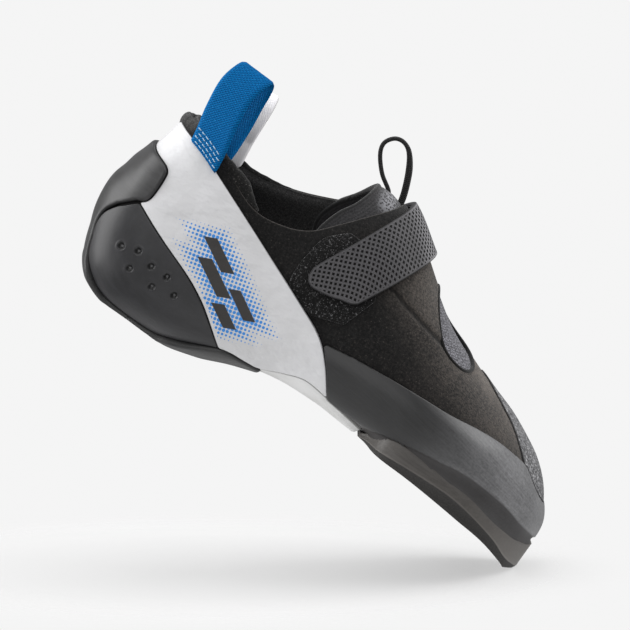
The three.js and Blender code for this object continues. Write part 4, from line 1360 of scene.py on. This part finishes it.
# one side wall from its top edge down over the bevel, as places in plan, heights and levels
def soleWall(side, way, inset):
    top, bevel, bottom = (lineHeight(name, side[0]) for name in ("soleTop", "soleBevel", "soleBottom"))
    wall = []
    for k in range(sole["wallLevels"] + 1):
        t = k / sole["wallLevels"]
        inward = sole["rounding"] * max(0, 1 - t * 5) ** 2 + sole["hollow"] * math.sin(math.pi * t)
        wall.append((side + way * min(inward, inset / 3), top + (bevel - top) * t, t))
    wall.append((side - way * sole["ridge"], bevel - 0.25 * mm, 1.06))
    for k in range(1, sole["bevelLevels"] + 1):
        t = k / sole["bevelLevels"]
        inward = inset * math.sin(math.pi / 2 * t) ** 1.4
        drop = (1 - math.cos(math.pi / 2 * t)) ** 0.7
        wall.append((side + way * inward, bevel + (bottom - bevel) * drop, 1.1 + t))
    return wall


# the tip is closed level by level, from the inner wall across to the outer one
def tipFaces(ring, across):
    wall = len(ring) // 2 - across
    inner, outer = ring[across:across + wall], ring[:-wall - 1:-1]
    faces = [(outer[k], outer[k + 1], inner[k + 1], inner[k]) for k in range(1, wall - 2)]
    above = [outer[1], outer[0]] + ring[:across] + [inner[0], inner[1]]
    below = inner[-2:] + ring[across + wall:-wall] + [outer[-1], outer[-2]]
    return faces + [tuple(reversed(above)), tuple(reversed(below))]


def soleMesh():
    left, right = solePlan()
    steps = ((1 - np.cos(math.pi * np.linspace(0, 1, sole["across"] + 1))) / 2)[1:-1]
    points, charts, faces, rings = [], [], [], []
    for outer, inner in zip(left, right):
        span = inner - outer
        width = float(np.linalg.norm(span))
        inset, over = min(sole["bevelInset"], width / 3), span / width
        rows = []
        for t in steps:
            plan = outer + span * t
            low, top = lineHeight("soleBottom", plan[0]), lineHeight("soleTop", plan[0])
            rows.append((plan, max(min(top, undersideHeight(plan, sole["randClearance"])),
                                   low + sole["thinnest"]), -0.5))
        rows += soleWall(inner, -over, inset)
        for t in steps:
            plan = inner - over * inset + (2 * over * inset - span) * t
            rows.append((plan, lineHeight("soleBottom", plan[0]), 3))
        rows += reversed(soleWall(outer, over, inset))
        rings.append(range(len(points), len(points) + len(rows)))
        for plan, z, level in rows:
            points.append((plan[0], plan[1], max(z, 0.0)))
            charts.append((plan[0], level, 1))
    for near, far in zip(rings, rings[1:]):
        faces += ringFaces(near, far)
    faces.append(tuple(rings[0]))
    faces += tipFaces(list(rings[-1]), len(steps))
    return meshPiece("frontSole", np.array(points) + lastOrigin, faces, soleFinish(), charts)


outsole = soleMesh()
dress(outsole, "sole_rubber", "outsole")

# the two pull loops of webbing, each astride the collar with its foot tucked under the band
pull = {"width": 17.6 * mm, "thick": 1.5 * mm, "spread": 10 * mm, "along": 110, "across": 14,
        "selvedge": 0.86,
        "path": [[0.20, -0.14], [0.24, 0.06], [0.50, 0.40], [0.48, 0.74], [-0.10, 0.97], [-0.84, 0.82],
                 [-0.96, 0.48], [-0.56, 0.12], [-0.32, -0.12]]}
outerPull = {"x": 0.122, "angle": 0.60, "height": 43.5 * mm, "lean": 0.42, "fullness": 1.0,
             "sweep": [[0, 0], [0.2, 0.6], [0.45, 2.2], [0.75, 3.4], [1.0, 2.0]]}
innerPull = {"x": 0.150, "angle": math.pi - 0.56, "height": 35 * mm, "lean": 0.25, "fullness": 0.6,
             "sweep": [[0, 0], [0.5, -2.0], [1.0, -2.4]]}
tacks = {"rows": 4, "first": 1.3 * mm, "apart": 1.9 * mm, "length": 1.7 * mm, "gap": 0.75 * mm,
         "radius": 0.24 * mm}


def webFinish(name, dark, light, gapTone, fleck, rise=0.22 * mm):
    finish = Finish(name, Specular_IOR_Level=0.06)
    lay = finish.lay()
    across, along = finish.axis(lay, "X"), finish.axis(lay, "Y")
    twill = ((along + across * 1.0) * (2 * math.pi / (1.25 * mm))).wave()
    warp = (across * (2 * math.pi / (0.85 * mm))).wave()
    threads = twill * 0.6 + warp * twill * 0.4
    fibres = finish.noise(finish.stretched(lay, (2600, 700, 1)), 1, 2, 0.6)
    colour = finish.blend((threads * 0.4 + fibres * 0.9 + 0.05).clipped(), dark, light)
    colour = finish.blend((0 - threads).between(0.35, 0.9) * 0.55, colour, gapTone)
    colour = finish.blend(fibres.between(0.56, 0.72) * threads.between(0, 0.6) * 0.55, colour, fleck)
    selvedge = across.size().between(8.0 * mm, 8.3 * mm)
    colour = finish.blend(selvedge * 0.35, colour, light)
    return finish.done(colour, 0.55 + 0.2 * fibres, finish.bump(threads + fibres * 0.4, rise, 0.8))


class WebbingPath:
    def __init__(self, sizes):
        share = shareAtX(np.array(sizes["x"] * last["length"]))
        foot = lastPoint(share, np.array(sizes["angle"]))
        side = -1 if foot[1] < lastOrigin[1] else 1
        normal = np.array([-math.sin(sizes["lean"]), side * math.cos(sizes["lean"]), 0])
        self.wide = np.array([-normal[1], normal[0], 0]) * side
        line = smoothLine(pull["path"], 12)
        raised = np.clip(line[:, 1:] / 0.3, 0, 1)
        bulge = line[:, :1] * (1 - raised * (1 - sizes["fullness"])) * pull["spread"]
        spine = foot + normal * bulge + np.array([0, 0, 1]) * line[:, 1:] * sizes["height"]
        sweep = smoothLine(sizes["sweep"], 12)
        spine -= self.wide * side * np.interp(line[:, 1], sweep[:, 0], sweep[:, 1])[:, None] * mm
        self.spine = evenLine(spine, 0.25 * mm)
        self.run = runAlong(self.spine)
        self.out = unit(np.cross(self.wide, unit(np.gradient(self.spine, axis=0)))) * side
        self.side = side

    # place at a run along the loop, a share across it and a height off its middle
    def at(self, run, u, height):
        middle = np.array([np.interp(run, self.run, self.spine[:, k]) for k in range(3)])
        out = unit(np.array([np.interp(run, self.run, self.out[:, k]) for k in range(3)]))
        return middle + self.wide * u * pull["width"] / 2 + out * height

    # where the loop comes out from under the band
    def start(self, u):
        places = self.spine + self.wide * u * pull["width"] / 2 - lastOrigin
        edge = smooth["bandFront"] * sideScale
        clear = places[:, 2] > np.interp(places[:, 0], edge[:, 0], edge[:, 1]) - 0.4 * mm
        return self.run[int(np.argmax(clear))] if clear[:len(clear) // 3].any() else 0.0


def pullLoop(name, webbing, finish):
    profile = []
    for k in range(pull["across"] + 1):
        u = 1 - 2 * k / pull["across"]
        edge = max(0, abs(u) - pull["selvedge"]) / (1 - pull["selvedge"])
        profile.append((u, 0.5 * math.sqrt(max(0, 1 - edge ** 2.4)) + 0.08 * edge * (1 - edge)))
    profile += [(u, -v) for u, v in reversed(profile) if abs(u) < 1]
    starts = [webbing.start(u) for u, v in profile]
    points, charts, faces = [], [], []
    for i in range(pull["along"] + 1):
        for (u, v), start in zip(profile, starts):
            run = start + (webbing.run[-1] - start) * i / pull["along"]
            points.append(webbing.at(run, u, v * pull["thick"]))
            charts.append((u * pull["width"] / 2, run, 1))
    count = len(profile)
    for i in range(pull["along"]):
        near, far = (range(row * count, (row + 1) * count) for row in (i, i + 1))
        faces += ringFaces(near, far)
    faces.append(tuple(range(count)))
    faces.append(tuple(reversed(range(pull["along"] * count, (pull["along"] + 1) * count))))
    return meshPiece(name, points, faces, finish, charts)


# rows of short stitches that hold the outer loop
def tackStitches(webbing, finish):
    parts = []
    reach = pull["width"] / 2 - 1.2 * mm
    step = tacks["length"] + tacks["gap"]
    for row in range(tacks["rows"]):
        place = -reach + (step / 2 if row % 2 else 0)
        while place + tacks["length"] < reach:
            spine = []
            for k, lift in enumerate((-0.6, 0.3, 0.55, 0.3, -0.6)):
                u = (place + tacks["length"] * k / 4) / (pull["width"] / 2)
                run = webbing.start(u) + tacks["first"] + row * tacks["apart"]
                spine.append(webbing.at(run, u, pull["thick"] / 2 + lift * tacks["radius"]))
            parts.append(tube(spine, tacks["radius"], 6, 1.0, Vector((0, 0, 1))))
            place += step
    points, faces = joined(parts)
    return meshPiece("tackStitches", points, faces, finish)


def threadFinish(name, colour):
    finish = Finish(name, Specular_IOR_Level=0.3)
    twist = finish.noise(finish.stretched(finish.place(), (3000, 3000, 1200)), 1, 2, 0.6)
    dark = tuple(value * 0.6 for value in colour[:3]) + (1,)
    return finish.done(finish.blend(twist, dark, colour), 0.6, finish.bump(twist, 0.1 * mm, 0.6))


blueWeb = webFinish("blueWeb", tone(0, 64, 120), tone(0, 108, 170), tone(0, 34, 74), tone(60, 150, 206))
paleWeb = webFinish("paleWeb", tone(246, 244, 248), tone(253, 252, 254), tone(240, 238, 243),
                    tone(255), 0.04 * mm)
outerPath, innerPath = WebbingPath(outerPull), WebbingPath(innerPull)
dress(pullLoop("outerPull", outerPath, blueWeb), "blue_webbing", "pull_loop_outer")
dress(pullLoop("innerPull", innerPath, paleWeb), "pale_webbing", "pull_loop_inner")
dress(tackStitches(outerPath, threadFinish("paleThread", tone(176, 208, 232))), "blue_webbing")

# the cord loop on the tongue: x is a share of the length, up of its height over the tongue
cord = {"radius": 0.98 * mm, "height": 23 * mm, "foot": 0.98, "step": 0.45 * mm, "sides": 24,
        "braid": 1.6 * mm,
        "path": [[0.430, -0.18], [0.424, 0.05], [0.396, 0.27], [0.374, 0.55], [0.368, 0.77],
                 [0.378, 0.95], [0.394, 1.00], [0.412, 0.91], [0.430, 0.64], [0.445, 0.27],
                 [0.452, 0.00], [0.454, -0.27]]}


def cordFinish():
    finish = Finish("braidedCord", Specular_IOR_Level=0.25, Sheen_Weight=0.15)
    lay = finish.lay()
    around, along = finish.axis(lay, "X"), finish.axis(lay, "Y")
    turn, rise = around * (2 * math.pi * 5), along * (2 * math.pi / cord["braid"])
    weave = (turn + rise).wave() * (turn - rise).wave()
    fibres = finish.noise(finish.place(), 2600, 2, 0.6)
    colour = finish.blend((weave * 0.4 + fibres * 0.8).clipped(), tone(8), tone(34, 33, 33))
    return finish.done(colour, 0.7, finish.bump(weave + fibres * 0.4, 0.25 * mm, 0.9))


def cordLoop():
    path = smoothLine(cord["path"], 12)
    spine = np.stack([path[:, 0] * last["length"], np.full(len(path), last["cordOffMiddle"]),
                      cord["foot"] * last["height"] + path[:, 1] * cord["height"]], -1) + lastOrigin
    spine = evenLine(spine, cord["step"])
    pressed = np.clip((np.linspace(0, 1, len(spine)) - 0.55) / 0.15, 0, 1)
    points, faces = tube(spine, cord["radius"] * (1 - 0.1 * pressed), cord["sides"], 1 + 0.75 * pressed)
    charts = [(k / cord["sides"], i * cord["step"], 1)
              for i in range(len(spine)) for k in range(cord["sides"])]
    return meshPiece("cordLoop", points, faces, cordFinish(), charts)


dress(cordLoop(), "cord", "cord_loop")

# the shoe is photographed standing on its toe, so the pale floor lies level in the picture, under the
# tip, and fades into the background; places are right, up and towards the camera, in metres
studio = {"floorPitch": 7, "floorMiddle": -0.13, "floorReach": (0.19, 0.13), "floorGlow": 0.35,
          "floorTone": tone(168), "backgroundTone": 0.912, "worldStrength": 0.30,
          "lights": {"overhead": ((-0.10, 1.25, 0.25), (1.3, 0.7), 6),
                     "heelSide": ((-0.90, 0.90, 0.05), (1.0, 1.0), 9.5),
                     "heelLow": ((-1.20, 0.15, 0.10), (1.0, 1.0), 11),
                     "toeSide": ((1.00, 0.75, 0.15), (1.0, 1.0), 14),
                     "front": ((-0.25, 0.35, 1.35), (1.1, 1.1), 6),
                     "bounce": ((-0.10, -0.85, 0.60), (1.2, 0.8), 2.5)}}


# a disc of rings under the tip, its chart's first value the fade towards its edge
def layFloor(soleParts):
    imageRight, imageUp, back = cameraAxes()
    pitch = math.radians(studio["floorPitch"])
    normal = imageUp * math.cos(pitch) + back * math.sin(pitch)
    places = [vertex.co for part in soleParts for vertex in part.data.vertices]
    touch = min(places, key=lambda place: place.dot(normal))
    deep = imageRight.cross(normal)
    rings, spokes = 12, 48
    points, faces, charts = [], [], []
    for ring in range(rings + 1):
        for spoke in range(spokes):
            turn, reach = 2 * math.pi * spoke / spokes, ring / rings
            right = math.cos(turn) * studio["floorReach"][0] * reach + studio["floorMiddle"]
            away = math.sin(turn) * studio["floorReach"][1] * reach
            points.append(touch + imageRight * right + deep * away)
            charts.append((reach, 0, 0))
    for ring in range(rings):
        near, far = (range(row * spokes, (row + 1) * spokes) for row in (ring, ring + 1))
        faces += ringFaces(near, far)
    finish = Finish("paleFloor", Roughness=0.9, Specular_IOR_Level=0.05, Emission_Color=(1, 1, 1, 1),
                    Emission_Strength=studio["floorGlow"])
    finish.feed(finish.shader.inputs["Alpha"], 1 - finish.axis(finish.lay(), "X").between(0.55, 1.0))
    floor = meshPiece("paleFloor", points, faces, finish.done(studio["floorTone"]), charts)
    floor.visible_shadow = False


def lightStudio():
    world = bpy.data.worlds.new("studio")
    bpy.context.scene.world = world
    world.use_nodes = True
    nodes, links = world.node_tree.nodes, world.node_tree.links
    background = nodes["Background"]
    background.inputs["Color"].default_value = (1, 1, 1, 1)
    seen = nodes.new("ShaderNodeLightPath")
    strength = nodes.new("ShaderNodeMapRange")
    strength.inputs["To Min"].default_value = studio["worldStrength"]
    strength.inputs["To Max"].default_value = studio["backgroundTone"]
    links.new(seen.outputs["Is Camera Ray"], strength.inputs["Value"])
    links.new(strength.outputs["Result"], background.inputs["Strength"])
    imageRight, imageUp, back = cameraAxes()
    target = Vector((0, 0, 0.05))
    for name, (place, size, power) in studio["lights"].items():
        data = bpy.data.lights.new(name, "AREA")
        data.shape, data.size, data.size_y = "RECTANGLE", *size
        data.energy = power
        lamp = bpy.data.objects.new(name, data)
        lamp.location = target + imageRight * place[0] + imageUp * place[1] + back * place[2]
        lamp.rotation_euler = (lamp.location - target).to_track_quat("Z", "Y").to_euler()
        lamp.visible_camera = False
        bpy.context.scene.collection.objects.link(lamp)


layFloor([outsole])
lightStudio()
print("floor and lights placed")

bpy.context.view_layer.update()
